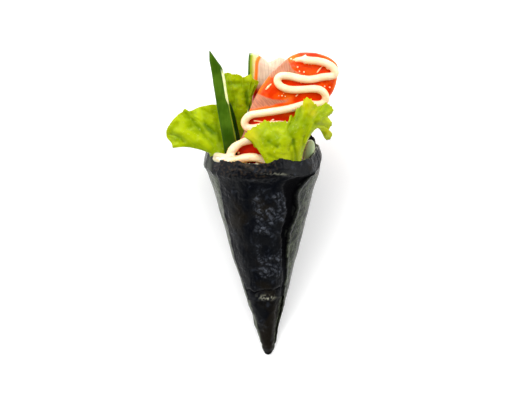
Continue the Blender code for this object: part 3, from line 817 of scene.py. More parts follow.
# Rows of (a, b, c). The neck is where the blade starts, the margin is its outer edge, and each line
# from neck to margin bends towards the bow. All run from the leaf's left to its right. Swells are
# rows of (a, b, a, b, width, height): hills along short lines, or hollows where the height is below
# 0; painted light on the hills and painted shade in the hollows go by their height. They, the spots
# of gold and the lit spots of painted light, each (a, b, radius), are where they lie at the leaf's
# level c.
LEAVES = {
    "lettuce_left": dict(
        stem=(-19.6, -26, 6), stem_width=4, level=11,
        neck=((-29.2, 2.4, 13), (-26.6, 2, 14.6), (-23.8, 1.8, 15), (-20.6, 0.6, 14)),
        bow=((-37, 6.2, 12.5), (-38.5, 9, 14), (-37, 14, 14), (-32, 17, 14),
             (-27, 16, 13), (-21, 15, 11.5), (-19, 14, 10)),
        margin=((-49.2, 4.4, 9), (-50, 7, 8.6), (-52.4, 9.6, 8), (-52.7, 12.5, 8),
                (-51.5, 16.2, 8.6), (-48.9, 20.1, 9), (-46.1, 23, 9.6), (-43.9, 24.4, 10),
                (-42.8, 26.4, 10.6), (-41.8, 26, 10.4), (-40.6, 25, 10), (-38.9, 25.2, 10),
                (-34, 27.2, 9.6), (-30.5, 28.1, 9), (-25.9, 28.3, 8.2), (-21.5, 27.5, 7.4),
                (-17.5, 26, 7)),
        swells=((-45.5, 21, -44, 19, 3, 0.9), (-47, 15, -42, 14, 3, 1),
                (-34.6, 24, -34, 20.5, 1.8, 1.1), (-40, 11, -34, 10, 2.4, 0.8),
                (-34, 8.5, -29, 5.2, 1.7, 0.9), (-48.5, 7.5, -46, 7, 2, 0.7),
                (-29, 25, -27.5, 20, 2.2, 0.6), (-38, 20, -32.5, 13, 1.5, -1.1),
                (-31, 17.4, -27.5, 13.5, 1.6, -1.9), (-41, 23, -39, 16.5, 1.8, -0.6),
                (-49.5, 12.5, -43, 8.4, 1.3, -0.8), (-31.5, 10.5, -27, 7.5, 1.4, -0.8),
                (-25.2, 20, -23.5, 9, 1.6, -1)),
        frill=0.5, waves=5, hills=0.6, tooth=0.05, calm=1, ribs=3, seed=3, foot_light=0,
        lit_spots=(), gold=()),
    "lettuce_back": dict(
        stem=(-11.5, -24, 1), stem_width=5, level=8,
        neck=((-15.6, 8, 3.4), (-13.4, 8, 3.4), (-10.9, 8, 3.2)),
        bow=((-19.5, 28, 4), (-14.5, 28, 7), (-11, 25, 7), (-9.6, 23, 5.4)),
        margin=((-23.6, 44, 3.6), (-21.3, 44.6, 4.2), (-19.5, 45, 4.8), (-16.5, 44.5, 5.2),
                (-13.4, 44.2, 5.2), (-11, 42.9, 5.4), (-8.6, 43.8, 6.4), (-6.6, 44.4, 7.6),
                (-5.4, 42.6, 8.4), (-2.4, 41, 9), (-4.6, 39.2, 8.6), (-7, 37.2, 7)),
        swells=((-20, 40.2, -8, 39.9, 1.1, -0.7), (-19, 42.8, -8, 42.4, 1.7, 0.8),
                (-13.4, 31.8, -12, 29, 2, 0.9), (-17, 37.4, -11.5, 36.4, 1.5, 0.7),
                (-15.6, 33, -14.2, 26, 1.2, -0.6), (-14.5, 25.6, -11, 24.8, 1.1, 0.8),
                (-9, 35, -8.6, 27, 1.3, -1.6), (-17, 29, -15.4, 20, 1.4, -0.8),
                (-12, 22.5, -12.4, 18, 1.4, -0.5)),
        frill=0.5, waves=4.5, hills=0.7, tooth=0.2, calm=1, ribs=2, seed=11, foot_light=0,
        lit_spots=(), gold=()),
    "lettuce_front": dict(
        stem=(9.5, -26, 17), stem_width=6, level=24,
        neck=((2.6, -2.2, 28.4), (5.6, -2.4, 28.8), (11, -2.4, 28), (16.4, -2.4, 25.8),
              (19.8, -2.2, 23.4)),
        bow=((-0.4, 4.8, 27.6), (-2.6, 11.6, 29.8), (1.5, 13.2, 31.8), (7, 13.6, 32.6),
             (12.5, 16.6, 32.6), (17.6, 19.6, 32.4), (21.6, 21.6, 33.5), (24.8, 23.6, 33),
             (26.2, 27.2, 32), (26.4, 29.4, 31), (25.6, 31.8, 30)),
        margin=((-2.6, 9.4, 24), (-3.6, 10.2, 23.6), (-4.8, 8.4, 23), (-5.4, 9.8, 22.8),
                (-7.4, 11.8, 22.6), (-9.8, 13.8, 22.6), (-9.2, 15.8, 23), (-6.7, 17.9, 23.4),
                (-4, 19.8, 23.4), (-1.7, 21.2, 23.4), (1.1, 22.9, 23.8), (3.3, 21.9, 23.6),
                (6.2, 22.2, 23.6), (9.1, 22.4, 23.6), (11.9, 22.4, 24), (13.7, 22.6, 24.2),
                (14.6, 26.4, 25.4), (15.9, 25, 24.8), (17, 26.2, 25), (17.8, 29.4, 25.6),
                (19.7, 30.9, 26), (21.4, 32.8, 26.2), (21.7, 34.8, 26.4), (23.6, 36, 26.8),
                (25.6, 34.8, 26.4), (27.4, 32.6, 25.4), (29, 30.9, 24.2), (31.4, 30.8, 22.6),
                (33.6, 32.3, 22.4), (35.6, 31, 22.2), (37.2, 28.9, 22), (36.8, 26.8, 21.6),
                (34.8, 24.7, 21), (35.4, 22.9, 20.4), (36.9, 20.5, 19.4), (36, 18, 18.6),
                (34.6, 15.9, 18), (35.8, 15.4, 17.2), (37.2, 13.7, 16.2), (36.6, 11.6, 15.4),
                (34.9, 10, 15), (33.2, 11.4, 15.8)),
        swells=((15.8, 12, 13.8, 6.4, 1, -0.9), (16.4, 11.6, 17.6, 1, 1.2, -1.1),
                (14.9, 4.5, 15.2, 0, 1, -0.8), (15, 8.4, 14.6, 5.6, 0.7, 0.6),
                (3, 11.2, 7.6, 8.4, 1.3, -1.1), (9.4, 11.5, 11, 5.6, 1.4, 0.9),
                (3.4, 3.6, 8, 1.4, 1.4, -0.7), (2, 16, 5, 18.5, 1.8, 0.7),
                (8, 17.4, 11, 14, 2, 0.8), (-1, 13.4, 1, 9, 1.1, -0.6),
                (13.6, 20, 14.6, 14, 1.3, -0.6), (26, 21.4, 22.4, 11, 0.7, 0.9),
                (21.6, 14, 20.8, 4, 1.1, -0.8), (22, 26, 26, 28, 2, 0.8),
                (18, 23, 20, 29, 1.4, -0.6), (20.4, 33, 23.6, 31.6, 1.1, 0.6),
                (27.6, 21.4, 30.6, 20.6, 1.2, -1.1), (33, 25, 35.4, 28.6, 1.3, 0.8),
                (30.4, 27, 33, 22.6, 1, -0.4), (33.8, 15.6, 34.8, 19.6, 1.2, 0.7)),
        frill=0.35, waves=11, hills=0.6, tooth=0.5, calm=0.7, ribs=4, seed=23, foot_light=0.9,
        lit_spots=((35, 22, 3), (34.6, 14, 4), (32, 18, 4), (11.7, 3.8, 3)),
        gold=((-7, 15, 4.5), (23.8, 33.6, 4.2), (26.4, 28, 2.2), (35.6, 16, 2.2))),
}


def ribs_of(u, v, shape):
    """Strength from 0 to 1 of the pale ribs, which fan out from the neck and fork."""
    seed = shape["seed"]
    bend = 0.45 * bump(u * 6, v * 2.4, 0, 1.5, seed + 9)
    first = abs(math.sin(math.pi * (shape["ribs"] * u + bend + 0.35)))
    fork = abs(math.sin(math.pi * (2 * shape["ribs"] * u + 2.6 * bend + 0.5 * v)))
    lines = max(bell(first, 0.1), 0.5 * smooth(v * 2 - 0.5) * bell(fork, 0.14))
    return lines * fall(v, 1, 0.25) * (0.5 + 0.5 * bump(u * 9, v * 4, 0, 1.4, seed))


def swell_at(point, shape):
    """Height in millimetres of the leaf's own hills and hollows at the point."""
    across = point.x
    along = point.y - (point.z - shape["level"]) * math.tan(AXIS_TILT)
    total = 0
    for a0, b0, a1, b1, width, height in shape["swells"]:
        run = a1 - a0
        climb = b1 - b0
        share = ((across - a0) * run + (along - b0) * climb) / (run * run + climb * climb)
        share = min(max(share, 0), 1)
        away = math.hypot(across - a0 - share * run, along - b0 - share * climb)
        total += height * bell(away, width)
    return total


def leaf_point(u, v, shape):
    """Point (a, b, c) of the blade, with u from its left to its right and v from neck to margin."""
    seed = shape["seed"]
    neck = Vector(spline_point(shape["neck"], u))
    bow = Vector(spline_point(shape["bow"], u))
    margin = Vector(spline_point(shape["margin"], u))
    near = [min(max(u + step, 0), 1) for step in MARGIN_EASING]
    plain = sum((Vector(spline_point(shape["margin"], x)) for x in near), Vector()) / len(near)
    point = neck * (1 - v) ** 2 + bow * (2 * v * (1 - v)) + plain * v ** 2
    point += (margin - plain) * rise(v, 0.7, 0.3)
    outward = (margin - bow).normalized()
    calm = 1 + (shape["calm"] - 1) * rise(u, 0.6, 0.12)
    saw = abs(2 * ((u * 50 + 1.6 * bump(u * 30, 0, 0, 1.7, seed)) % 1) - 1)
    tooth = shape["tooth"] * (1 + 1.6 * bump(u * 40, 0, 0, 1.9, seed + 1)) * calm
    point += outward * (tooth * (2.2 * saw ** 2 - 0.6) * rise(v, 0.88, 0.12))
    edge = rise(v, 0.52, 0.48) ** 1.5
    phase = math.tau * shape["waves"] * u + 3 * bump(u * 9, v * 2.4, 0, 1, seed)
    size = shape["frill"] * (0.8 + 0.8 * bump(u * 12, 0, 0, 1.2, seed + 4)) * calm
    point.z += edge * size * (math.sin(phase) + 0.5 * math.sin(2.1 * phase + 3 * v))
    point += outward * (0.3 * edge * size * math.cos(phase))
    soft = shape["hills"] * smooth(v * 2.5) * (1 - 0.2 * v)
    lift = SWELL_SHARE * swell_at(point, shape) * smooth(v * 6)
    lift += soft * (1.1 * bump(point.x, point.y, 0, 7.5, seed)
                    + 1.1 * bump(point.x, point.y, 0, 3.6, seed + 2)
                    + 0.35 * bump(point.x, point.y, 0, 1.7, seed + 6))
    point.z += lift + 0.1 * ribs_of(u, v, shape)
    return point


def spot_strength(point, spots):
    """Strength from 0 to 1 of the nearest of some soft round spots (a, b, radius)."""
    near = (bell(math.hypot(point.x - a, point.y - b), radius) for a, b, radius in spots)
    return max(near, default=0)


def make_leaf(name, shape, surface):
    """A lettuce leaf: a stem strip up to the neck, then a soft blade with a ruffled margin."""
    stem = Vector(shape["stem"])
    seed = shape["seed"]
    painted = {"hollow": [], "light": [], "lit_spots": [], "rib": [], "tip": []}

    def place_at(i, j):
        u = i / LEAF_COLUMNS
        v = max((j - STEM_ROWS) / BLADE_ROWS, 0)
        point = leaf_point(u, v, shape)
        if j < STEM_ROWS:
            root = stem + Vector(((u - 0.5) * shape["stem_width"], 0, 0))
            point = root.lerp(point, j / STEM_ROWS)
        swell = swell_at(point, shape) + 0.5 * bump(point.x, point.y, 0, 3.6, seed + 2)
        # Painted shade in the hollows and painted light on the hills, from the swells' height
        painted["hollow"].append(smooth(-swell / 1.7))
        # Painted light over the lower blade
        foot = shape["foot_light"] * fall(v, 0.6, 0.4)
        painted["light"].append(max(smooth(swell / 1.2), foot))
        # Painted light in round spots
        painted["lit_spots"].append(spot_strength(point, shape["lit_spots"]))
        painted["rib"].append(ribs_of(u, v, shape))
        painted["tip"].append(max(0.3 * rise(v, 0.94, 0.06), spot_strength(point, shape["gold"])))
        return place(*point)

    mesh = grid_mesh(name + "_leaf", LEAF_COLUMNS, STEM_ROWS + BLADE_ROWS, place_at, painted=painted)
    piece = add_piece(name + "_leaf", mesh, surface, "lettuce", name)
    thicken(piece, LEAF_THICKNESS, 0)
    return piece


# -------------------- sticks

# Rows of (b, left a, right a, highest c, thickness)
CRAB_FRONT = (
    (-34, -7.5, 8.5, 9, 6), (-20, -10, 12, 12.5, 8), (-3, -15, 14.5, 16.4, 9),
    (5, -14.8, 18.5, 17.4, 9.4), (13, -10.9, 23, 18.2, 9.5), (27, -7.1, 31, 18.6, 9.5),
    (37, -2.4, 37.6, 19, 9.5), (45, 3, 39.8, 18.2, 9), (51, 9.2, 39.6, 16.6, 8),
    (55, 14, 35, 14.4, 6), (57.2, 19, 28.5, 12.8, 3.4),
)
CRAB_BACK = (
    (-32, -5, 8.5, 2.5, 7.5), (-12, -6.2, 12, 4.8, 9.3), (14, -6.9, 14.7, 6.3, 10),
    (43, -4.8, 14.2, 5.6, 9.5), (51.5, -4, 13, 4.6, 8), (54, -2.4, 9, 2.8, 5),
)
CUCUMBER_BACK = (
    (-34, -6.5, 0, -6, 6), (0, -8, -0.5, -5.2, 7), (40, -8.4, -1, -4.6, 7),
    (53, -7.9, -2, -4.8, 6),
)
CUCUMBER_RIGHT = (
    (-30, 15.5, 20.5, 8, 5), (-10, 20, 25.6, 12, 6.5), (1, 21.6, 27.4, 14.4, 7.5),
    (4.6, 22.2, 28.2, 14.6, 7), (7.6, 23, 27.8, 13.4, 5), (8.8, 24.2, 26.8, 12.2, 3),
)
CUCUMBER_BLADE = (
    (-28, -17.5, -11, 12.6, 3), (2, -20.8, -13.6, 15.4, 3.4), (31, -25.4, -18.6, 15.6, 3.4),
    (47.6, -27.8, -21.3, 15.6, 3.2), (53.5, -28.8, -24.6, 15.5, 2.6), (59, -28.9, -28.3, 15.4, 1),
)
CUCUMBER_SECOND = (
    (-28, -15.4, -11.9, 8.4, 3.4), (-8, -15, -12.2, 10.2, 3.6), (2, -13.8, -12, 11.5, 3.6),
    (10, -14.5, -12.4, 13.6, 3.6), (24, -17.2, -15.3, 15, 3.4), (30, -18.2, -17.4, 15, 2.8),
)
# Where the red top of the front crab stick ends: a and the least b
RED_TOP_EDGE = (
    (11, 62), (13.3, 55), (15.2, 50.8), (17.5, 49.1), (19.7, 47.9), (23.4, 46.5), (28, 44),
)
# Upper and lower edge of its grey-pink band: a and b
BAND_TOP = ((-6, 38.5), (-0.6, 35.8), (2.2, 34.6), (5, 33.8), (7.9, 33.3), (10.7, 33.6), (14, 35))
BAND_LOW = ((-6, 27.2), (-0.6, 28.5), (3.6, 29.1), (7.9, 30.3), (12.4, 31.2), (16, 32.5))


def stick_mesh(name, stations, squareness, rows, sides, rough, seed, colours, dip=0):
    """A loft through the stations whose section lies between an ellipse (1) and a box (0).

    colours maps a stored name to a function of (share across, share up, a, b), each share from -1
    to 1. dip is how far the end is scooped out.
    """
    end = stations[-1][0]
    painted = {label: [] for label in colours}
    # The last rows at both ends draw in, to close and round them
    ends = {0: 0, 1: 0.8, 2: 0.95, rows - 2: 0.95, rows - 1: 0.8, rows: 0}

    def place_at(i, j):
        t = min(max((j - 3) / (rows - 6), 0), 1)
        b, left, right, top, thickness = spline_point(stations, t)
        shrink = ends.get(j, 1)
        turn = math.tau * i / sides
        across = math.copysign(abs(math.cos(turn)) ** squareness, math.cos(turn)) * shrink
        up = math.copysign(abs(math.sin(turn)) ** squareness, math.sin(turn)) * shrink
        a = (left + right) / 2 + across * (right - left) / 2
        c = top - thickness / 2 + up * thickness / 2
        swell = rough * bump(a, b, c, 5, seed) + 0.4 * rough * bump(a, b, c, 1.8, seed + 3)
        for label, value_at in colours.items():
            painted[label].append(value_at(across, up, a, b))
        push = 0.35 * (1 - shrink) * (1 if j < rows / 2 else -1)
        push += dip * bell(across - 0.1, 0.75) * smooth((b - end + 12) / 12)
        return place(a + swell * across * 0.6, b - push + 0.3 * swell * (shrink < 1), c + swell * up)

    return grid_mesh(name, sides, rows, place_at, closed=True, painted=painted)


def none(across, up, a, b):
    """The same 0 all over a stick."""
    return 0


def always(across, up, a, b):
    """The same 1 all over a stick."""
    return 1


def make_cucumbers(surface):
    """Four sticks, each with skin on the side it was cut from."""

    def blade_skin(across, up, a, b):
        strip = rise(b, 28.5, 2.5) * fall(b, 50, 4)
        line = rise(b, 8, 4) * fall(b, 31, 2)
        inner = strip * smooth((across - 0.88 + 0.28 * rise(b, 29, 5)) / 0.05)
        return 1 - max(inner, 0.8 * line * rise(across, 0.88, 0.05))

    def blade_rind(across, up, a, b):
        return fall(b, 31, 2)

    def low(across, up, a, b):
        return fall(b, 26, 34)

    def front_skin(across, up, a, b):
        return rise(up, -0.95, 0.2)

    def left_skin(across, up, a, b):
        return fall(across, -0.55, 0.14)

    def left_rind(across, up, a, b):
        return fall(across, 0.05, 0.5)

    plans = (
        ("cucumber_blade", CUCUMBER_BLADE, 0.35, 130, 56, 0.1, 2,
         dict(skin=blade_skin, low=low, pale=none, rind=blade_rind)),
        ("cucumber_second", CUCUMBER_SECOND, 0.4, 90, 32, 0.1, 4,
         dict(skin=front_skin, low=always, pale=none, rind=always)),
        ("cucumber_back", CUCUMBER_BACK, 0.45, 110, 40, 0.14, 6,
         dict(skin=left_skin, low=none, pale=none, rind=left_rind)),
        ("cucumber_right", CUCUMBER_RIGHT, 0.8, 70, 36, 0.15, 8,
         dict(skin=none, low=none, pale=always, rind=none)),
    )
    for name, stations, squareness, rows, sides, rough, seed, colours in plans:
        mesh = stick_mesh(name + "_stick", stations, squareness, rows, sides, rough, seed, colours)
        add_piece(name + "_stick", mesh, surface, "cucumber", name)


def make_crab(surface):
    """The front piece, banded red and pale, and the fibrous white back piece."""

    def wander(a, b):
        return 0.7 * bump(a, b, 0, 4, 1.5) + 0.35 * bump(a, b, 0, 1.3, 2.5)

    def pale(across, up, a, b):
        b1 = b + wander(a, b)
        top = fall(b1, read(RED_TOP_EDGE, a), 1.5)
        first = top * rise(b1, 44.6, 1.2) * fall(a, 27, 6)
        under = fall(up, -0.05, 0.5)
        rim = 0.75 * fall(up, 0.42, 0.3) * rise(b, 50, 4)
        return max(first, 0.8 * under, rim)

    def mauve(across, up, a, b):
        b1 = b + wander(a, b)
        inside = fall(b1, read(BAND_TOP, a), 0.9) * rise(b1, read(BAND_LOW, a), 1.2)
        foot = fall(across, -0.7, 0.2) * fall(b1, 18, 2) * rise(b1, 9, 2)
        return max(inside * fall(a, 15.5, 5) * smooth(up + 0.9), foot)

    def carmine_and_shade(across, up, a, b):
        b1 = b + 0.5 * wander(a, b)
        lower = 0.9 * fall(b1, 25, 1.6)
        lobe = smooth((a - 15.8 - 0.06 * (b - 34) ** 2) / 0.8) * fall(b1, 38.4, 0.8)
        lobe *= 0.55 * rise(b1, 29.5, 1.5)
        # Painted shade in the slot between two mayonnaise lines
        slot = 0.6 * bell(b1 - 41.6, 1.5) * rise(a, 10, 2) * fall(a, 31, 4)
        crown = 0.75 * bell(a - 26, 3) * rise(b1, 55.6, 0.9)
        return min(max(lower, lobe, slot, crown), 1)

    def orange(across, up, a, b):
        b1 = b + wander(a, b)
        strip = fall(b1, 31, 1.6) * rise(b1, 26, 1)
        join = rise(a, 9, 3) * fall(a, 16.5, 2) * bell(b1 - 33, 3)
        edge = 0.8 * rise(abs(across), 0.86, 0.14)
        crown = rise(b1, 52, 2.5) * fall(a, 21, 5)
        return max(0.85 * strip, 0.8 * join, edge, crown) * (1 - fall(b, 22, 6))

    # Painted shade: the back piece's left turns deep red where the front piece overhangs it
    def back_shade(across, up, a, b):
        return fall(b, 40, 6) * fall(across, -0.35, 0.3)

    def back_white(across, up, a, b):
        white = smooth((across + 0.84 + 0.05 * bump(b, 0, 0, 5, 1)) / 0.08)
        return white * (1 - back_shade(across, up, a, b))

    front = dict(pale=pale, mauve=mauve, carmine_and_shade=carmine_and_shade, orange=orange, white=none)
    mesh = stick_mesh("crab_front_piece", CRAB_FRONT, 0.7, 220, 170, 0.35, 1, front)
    add_piece("crab_front_piece", mesh, surface, "crab_stick", "crab_front")
    back = dict(pale=none, mauve=none, carmine_and_shade=back_shade, orange=always, white=back_white)
    mesh = stick_mesh("crab_back_piece", CRAB_BACK, 0.55, 150, 90, 0.28, 5, back, dip=4.5)
    add_piece("crab_back_piece", mesh, surface, "crab_stick", "crab_back")


# -------------------- the mayonnaise

MAYO_RADIUS = 1.98
MAYO_LINE = (
    (17, 54.7), (20.8, 55.1), (23.6, 54.7), (29.2, 54.2), (33.2, 53.2), (36.6, 51.2), (38.3, 48.8),
    (37.8, 46.6), (35.6, 46), (31.9, 45.7), (27.6, 44.8), (23.7, 44.5), (19.1, 45.1), (15.2, 46),
    (11.5, 46.4), (9, 45.9), (7.6, 44.2), (8.1, 42.2), (9.8, 40.6), (12.9, 39.4), (16.9, 39),
    (22, 39.2), (26.2, 39.5), (29.4, 39.2), (31.9, 37.8), (33.3, 35.6), (33.4, 33.3), (32.2, 31.4),
    (29.6, 30.7), (26.6, 30.8), (23.8, 31), (21.5, 30.8), (19.2, 30.1), (15.3, 28.9), (10.7, 27.9),
    (5.3, 27), (-1.7, 25.8), (-6.3, 24.9), (-8.9, 23.1), (-10.1, 20.6), (-9.2, 18.4), (-7, 17.6),
    (-3, 18.1), (1.2, 19.2), (6.3, 19.8), (11.6, 19.6), (15.4, 18.2), (15, 15.6), (9.5, 13.4),
    (2, 12.2), (-3.6, 11.5), (-7.6, 10.7), (-10.2, 10), (-12.2, 9.1), (-14.3, 7.8), (-16.1, 6),
    (-17.4, 3.8), (-17.5, 1.6), (-15.4, 0.2), (-12.2, 0.4), (-9.2, 1.1), (-5.4, 1.4), (-2.5, 0.6),
    (0.1, -0.6),
)
MAYO_STEPS = 560
MAYO_SIDES = 18
# The lowest c at which the line and the juice lie
MAYO_REST = 17.2
MAYO_VOXEL = 0.32
# Times the line's height is eased
MAYO_EASINGS = 3
# Direction of the painted light: the tops facing it stay pale, the sides turned away get painted peach
# shade
MAYO_LIGHT = (0, 0.3, 0.95)
# Flicks and dabs that spread off the line: rows of (a, b, c, radius) from one end to the other
MAYO_STROKES = (
    ((15.6, 54.6, 17, 0.35), (18, 55, 18.2, 0.9), (20.8, 55.2, 18.6, 1.3)),
    ((22.6, 57.3, 17.2, 0.45), (22, 56.4, 17.8, 0.9), (22.4, 55.2, 18.4, 1.3)),
    ((34.4, 50.6, 18.6, 0.9), (35.6, 51.4, 18.2, 0.8)),
    ((-14.5, 0.8, 20.4, 1.5), (-11, 1.6, 21.4, 1.9), (-7.4, 2.4, 22.2, 2.3), (-4, 2.2, 22.6, 2.2),
     (-1, 1.2, 22.8, 1.8), (2.4, -0.8, 23.6, 0.5)),
    ((-17, 2.6, 20, 1.9), (-19.4, 1.4, 19, 1.9), (-22, 1.3, 17.4, 1.9), (-25, 1.4, 14.8, 1.9),
     (-26.4, 1.5, 12, 1.5), (-28.4, 2.3, 8.6, 0.7)),
    ((-16.6, 0.6, 20.8, 1.7), (-20, -0.3, 19.8, 1.7), (-23, -0.7, 17.6, 1.7), (-25.6, -0.6, 14.6, 1.7),
     (-27.8, 0, 10.6, 0.9)),
)
# Crumbly drips under the line's edge: a, b and radius
MAYO_DRIPS = (
    (22.2, 52.9, 0.7), (25.6, 52.4, 0.6), (20.3, 43, 0.8), (22, 42.9, 0.7), (18.6, 43.4, 0.6),
    (15.6, 44.2, 0.5), (13.2, 44.6, 0.5),
)
JUICE_VOXEL = 0.16
JUICE_SPACING = 0.2
# Pale drops set where the wet crab stick shows highlights, so they are partly painted highlights
# Threads and drops of juice on the crab stick: rows of (a, b, radius) from one end to the other
JUICE_AND_GLINTS = (
    ((28.9, 48, 0.42), (30.4, 49.8, 0.34), (31.8, 51.4, 0.22)),
    ((1.6, 38.8, 0.45), (2.9, 40.2, 0.68), (4.3, 41.6, 0.35)),
    ((-4.8, 21.4, 0.42), (-2.4, 21.2, 0.38), (-0.2, 20.9, 0.25)),
    ((3.6, 20.9, 0.35), (4.9, 21.7, 0.62), (5.6, 22.3, 0.4)),
    ((17.6, 35.2, 0.32), (18.4, 36.1, 0.4)), ((14.9, 55.1, 0.62),), ((10.1, 35.5, 0.5),),
    ((11, 36.8, 0.3),), ((11.8, 35.1, 0.38),), ((8.4, 35.5, 0.3),), ((18.4, 50.7, 0.5),),
    ((19.4, 48.5, 0.42),), ((21.8, 48.1, 0.5),), ((32.9, 40.4, 0.45),), ((35.6, 39.8, 0.5),),
    ((-13.2, 3.6, 0.6),), ((13, 38, 0.25),), ((24.4, 52.2, 0.3),),
)


def rest_on(obj, a, b):
    """Height c at which something lies on the object, also beside its edge."""
    start = place(a, b, 60)
    down = place(a, b, -20, floor=-100) - start
    hit, where, _, _ = obj.ray_cast(start, down.normalized())
    under = 60 - (where - start).length / MM if hit else MAYO_REST
    return max(under, MAYO_REST)


def tube_mesh(name, rows, sides):
    """A round skin along rows of (a, b, c, radius), closed at both ends."""
    last = len(rows) - 1

    def place_at(i, j):
        a, b, c, radius = rows[min(max(j - 1, 0), last)]
        if j in (0, last + 2):
            return place(a, b, c)
        before = rows[max(j - 2, 0)]
        after = rows[min(j, last)]
        forward = Vector([after[n] - before[n] for n in range(3)]).normalized()
        side = forward.cross(Vector((0, 0, 1))).normalized()
        up = side.cross(forward)
        turn = math.tau * i / sides
        offset = side * (radius * 1.05 * math.cos(turn)) + up * (radius * 0.95 * math.sin(turn))
        return place(a + offset.x, b + offset.y, c + offset.z)

    return grid_mesh(name, sides, last + 2, place_at, closed=True)


def add_balls(bm, rows, spacing=0.35):
    """Fill the way along rows of (a, b, c, radius) with overlapping balls."""
    legs = list(zip(rows, rows[1:])) or [(rows[0], rows[0])]
    for start, end in legs:
        count = max(int(math.dist(start[:3], end[:3]) / spacing), 1)
        for k in range(count + 1):
            a, b, c, radius = (x + (y - x) * k / count for x, y in zip(start, end))
            centre = Matrix.Translation(place(a, b, c))
            bmesh.ops.create_icosphere(bm, subdivisions=2, radius=radius * MM, matrix=centre)


def fuse(piece, surface, voxel, rounds):
    """Melt overlapping parts of a piece into one smooth skin."""
    remesh = piece.modifiers.new("fuse", "REMESH")
    remesh.mode = "VOXEL"
    remesh.voxel_size = voxel * MM
    remesh.use_smooth_shade = True
    relax = piece.modifiers.new("relax", "SMOOTH")
    relax.factor = 0.5
    relax.iterations = rounds
    bpy.context.view_layer.update()
    apply_modifiers(piece)
    piece.data.materials.clear()
    piece.data.materials.append(surface)
    piece.data.shade_smooth()


def make_mayonnaise(surface, crab):
    """One fused skin over the piped line, its flicks and its drips."""
    rows = []
    for k in range(MAYO_STEPS + 1):
        t = k / MAYO_STEPS
        a, b = spline_point(MAYO_LINE, t)
        along = t * 60
        uneven = 1 + 0.09 * bump(along, 0, 0, 1.6, 2) + 0.05 * bump(along, 0, 0, 0.5, 4)
        radius = MAYO_RADIUS * uneven
        radius *= 0.55 + 0.45 * smooth(t / 0.03)
        radius *= 1 + 0.16 * rise(t, 0.84, 0.04) - 0.4 * rise(t, 0.985, 0.015)
        rows.append((a, b, rest_on(crab, a, b) + radius * 0.66, radius))
    for _ in range(MAYO_EASINGS):
        eased = []
        for k, (a, b, _, radius) in enumerate(rows):
            near = rows[max(k - 5, 0):k + 6]
            eased.append((a, b, sum(row[2] for row in near) / len(near), radius))
        rows = eased
    mesh = tube_mesh("mayonnaise_line", rows, MAYO_SIDES)
    bm = bmesh.new()
    bm.from_mesh(mesh)
    for stroke in MAYO_STROKES:
        add_balls(bm, stroke)
    for a, b, radius in MAYO_DRIPS:
        add_balls(bm, ((a, b, rest_on(crab, a, b) + radius * 0.4, radius),))
    bm.to_mesh(mesh)
    bm.free()
    piece = add_piece("mayonnaise_line", mesh, surface, "mayonnaise", "mayonnaise")
    fuse(piece, surface, MAYO_VOXEL, 4)
    mesh = piece.data
    light = Vector(MAYO_LIGHT)
    paint(mesh, "shade", [fall(v.normal.dot(light), 0.8, 0.75) for v in mesh.vertices])
    paint(mesh, "dull", [fall(v.co.x / MM, -20.5, 5) for v in mesh.vertices])


def make_juice_glints(surface, crab):
    """Threads and drops of juice that stand on the crab stick, pale, partly as painted highlights."""
    mesh = bpy.data.meshes.new("juice_drops")
    bm = bmesh.new()
    for drop in JUICE_AND_GLINTS:
        rows = [(a, b, rest_on(crab, a, b) + 0.1 * radius, radius) for a, b, radius in drop]
        add_balls(bm, rows, JUICE_SPACING)
    bm.to_mesh(mesh)
    bm.free()
    piece = add_piece("juice_drops", mesh, surface, "mayonnaise")
    fuse(piece, surface, JUICE_VOXEL, 2)


# -------------------- stage

CAMERA_HEIGHT = 1.087
CAMERA_SIDE = -0.00385
CAMERA_LENS = 135
FLOOR_COLOUR = 0.98
FLOOR_GLOW = 0.15
# The middle of the dim part of the sky
DIM_SKY = (0, -0.68, 0.73)
LIGHT_TARGET = (0, 0, 0.03)


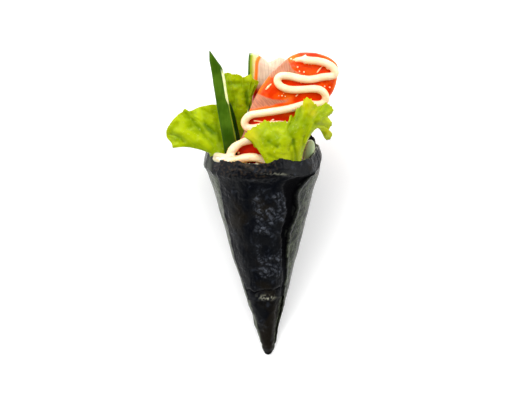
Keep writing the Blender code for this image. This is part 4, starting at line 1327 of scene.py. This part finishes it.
def make_stage():
    """A pale floor and a camera straight above."""
    mesh = bpy.data.meshes.new("floor")
    half = 3
    corners = [(-half, -half, 0), (half, -half, 0), (half, half, 0), (-half, half, 0)]
    mesh.from_pydata(corners, [], [(0, 1, 2, 3)])
    floor = new_object("floor", mesh)
    pale = Surface("floor", Base_Color=(FLOOR_COLOUR, FLOOR_COLOUR, FLOOR_COLOUR, 1), Roughness=0.9,
                   Emission_Color=(1, 1, 1, 1), Emission_Strength=FLOOR_GLOW)
    mesh.materials.append(pale.material)

    camera = new_object("camera", bpy.data.cameras.new("camera"))
    camera.data.lens = CAMERA_LENS
    camera.data.sensor_width = 36
    camera.data.clip_end = 20
    camera.location = (CAMERA_SIDE, 0, CAMERA_HEIGHT)
    bpy.context.scene.camera = camera


def add_light(name, location, size, power):
    """A soft square lamp turned at the object."""
    light = bpy.data.lights.new(name, "AREA")
    light.size = size
    light.energy = power
    lamp = new_object(name, light)
    lamp.location = location
    aim = Vector(LIGHT_TARGET) - Vector(location)
    lamp.rotation_euler = aim.to_track_quat("-Z", "Y").to_euler()


def make_light():
    """Soft light from behind and from the sides, under a sky that is dim high in front."""
    add_light("key", (-0.3, 0.75, 0.95), 0.6, 6.3)
    add_light("fill", (0.9, 0.2, 0.8), 0.9, 4.6)
    add_light("left", (-0.9, 0.1, 0.8), 0.9, 4.6)
    world = bpy.data.worlds.new("sky")
    bpy.context.scene.world = world
    world.use_nodes = True
    sky = Nodes(world.node_tree)
    direction = sky.node("TexCoord", {}).outputs["Generated"]
    towards = sky.node("VectorMath", {0: direction, 1: DIM_SKY}, operation="DOT_PRODUCT")
    background = sky.nodes["Background"].inputs
    background["Color"].default_value = (1, 1, 1, 1)
    sky.feed(background["Strength"], sky.ramp(towards.outputs["Value"], 0.3, 0.85, 1.6, 0.02))
    bpy.context.scene.view_settings.view_transform = "Standard"


# -------------------- assembly

def main():
    """Make every piece, then the stage and its light."""
    make_nori(nori_surface())
    rice = rice_surface()
    make_rice_core(rice)
    make_rice_grains(rice)
    lettuce = lettuce_surface()
    for name, shape in LEAVES.items():
        make_leaf(name, shape, lettuce)
    make_cucumbers(cucumber_surface())
    make_crab(crab_surface())
    bpy.context.view_layer.update()
    crab = bpy.data.objects["crab_front_piece"]
    make_mayonnaise(mayonnaise_surface(), crab)
    make_juice_glints(juice_glint_surface(), crab)
    make_stage()
    make_light()


main()
bpy.context.view_layer.update()
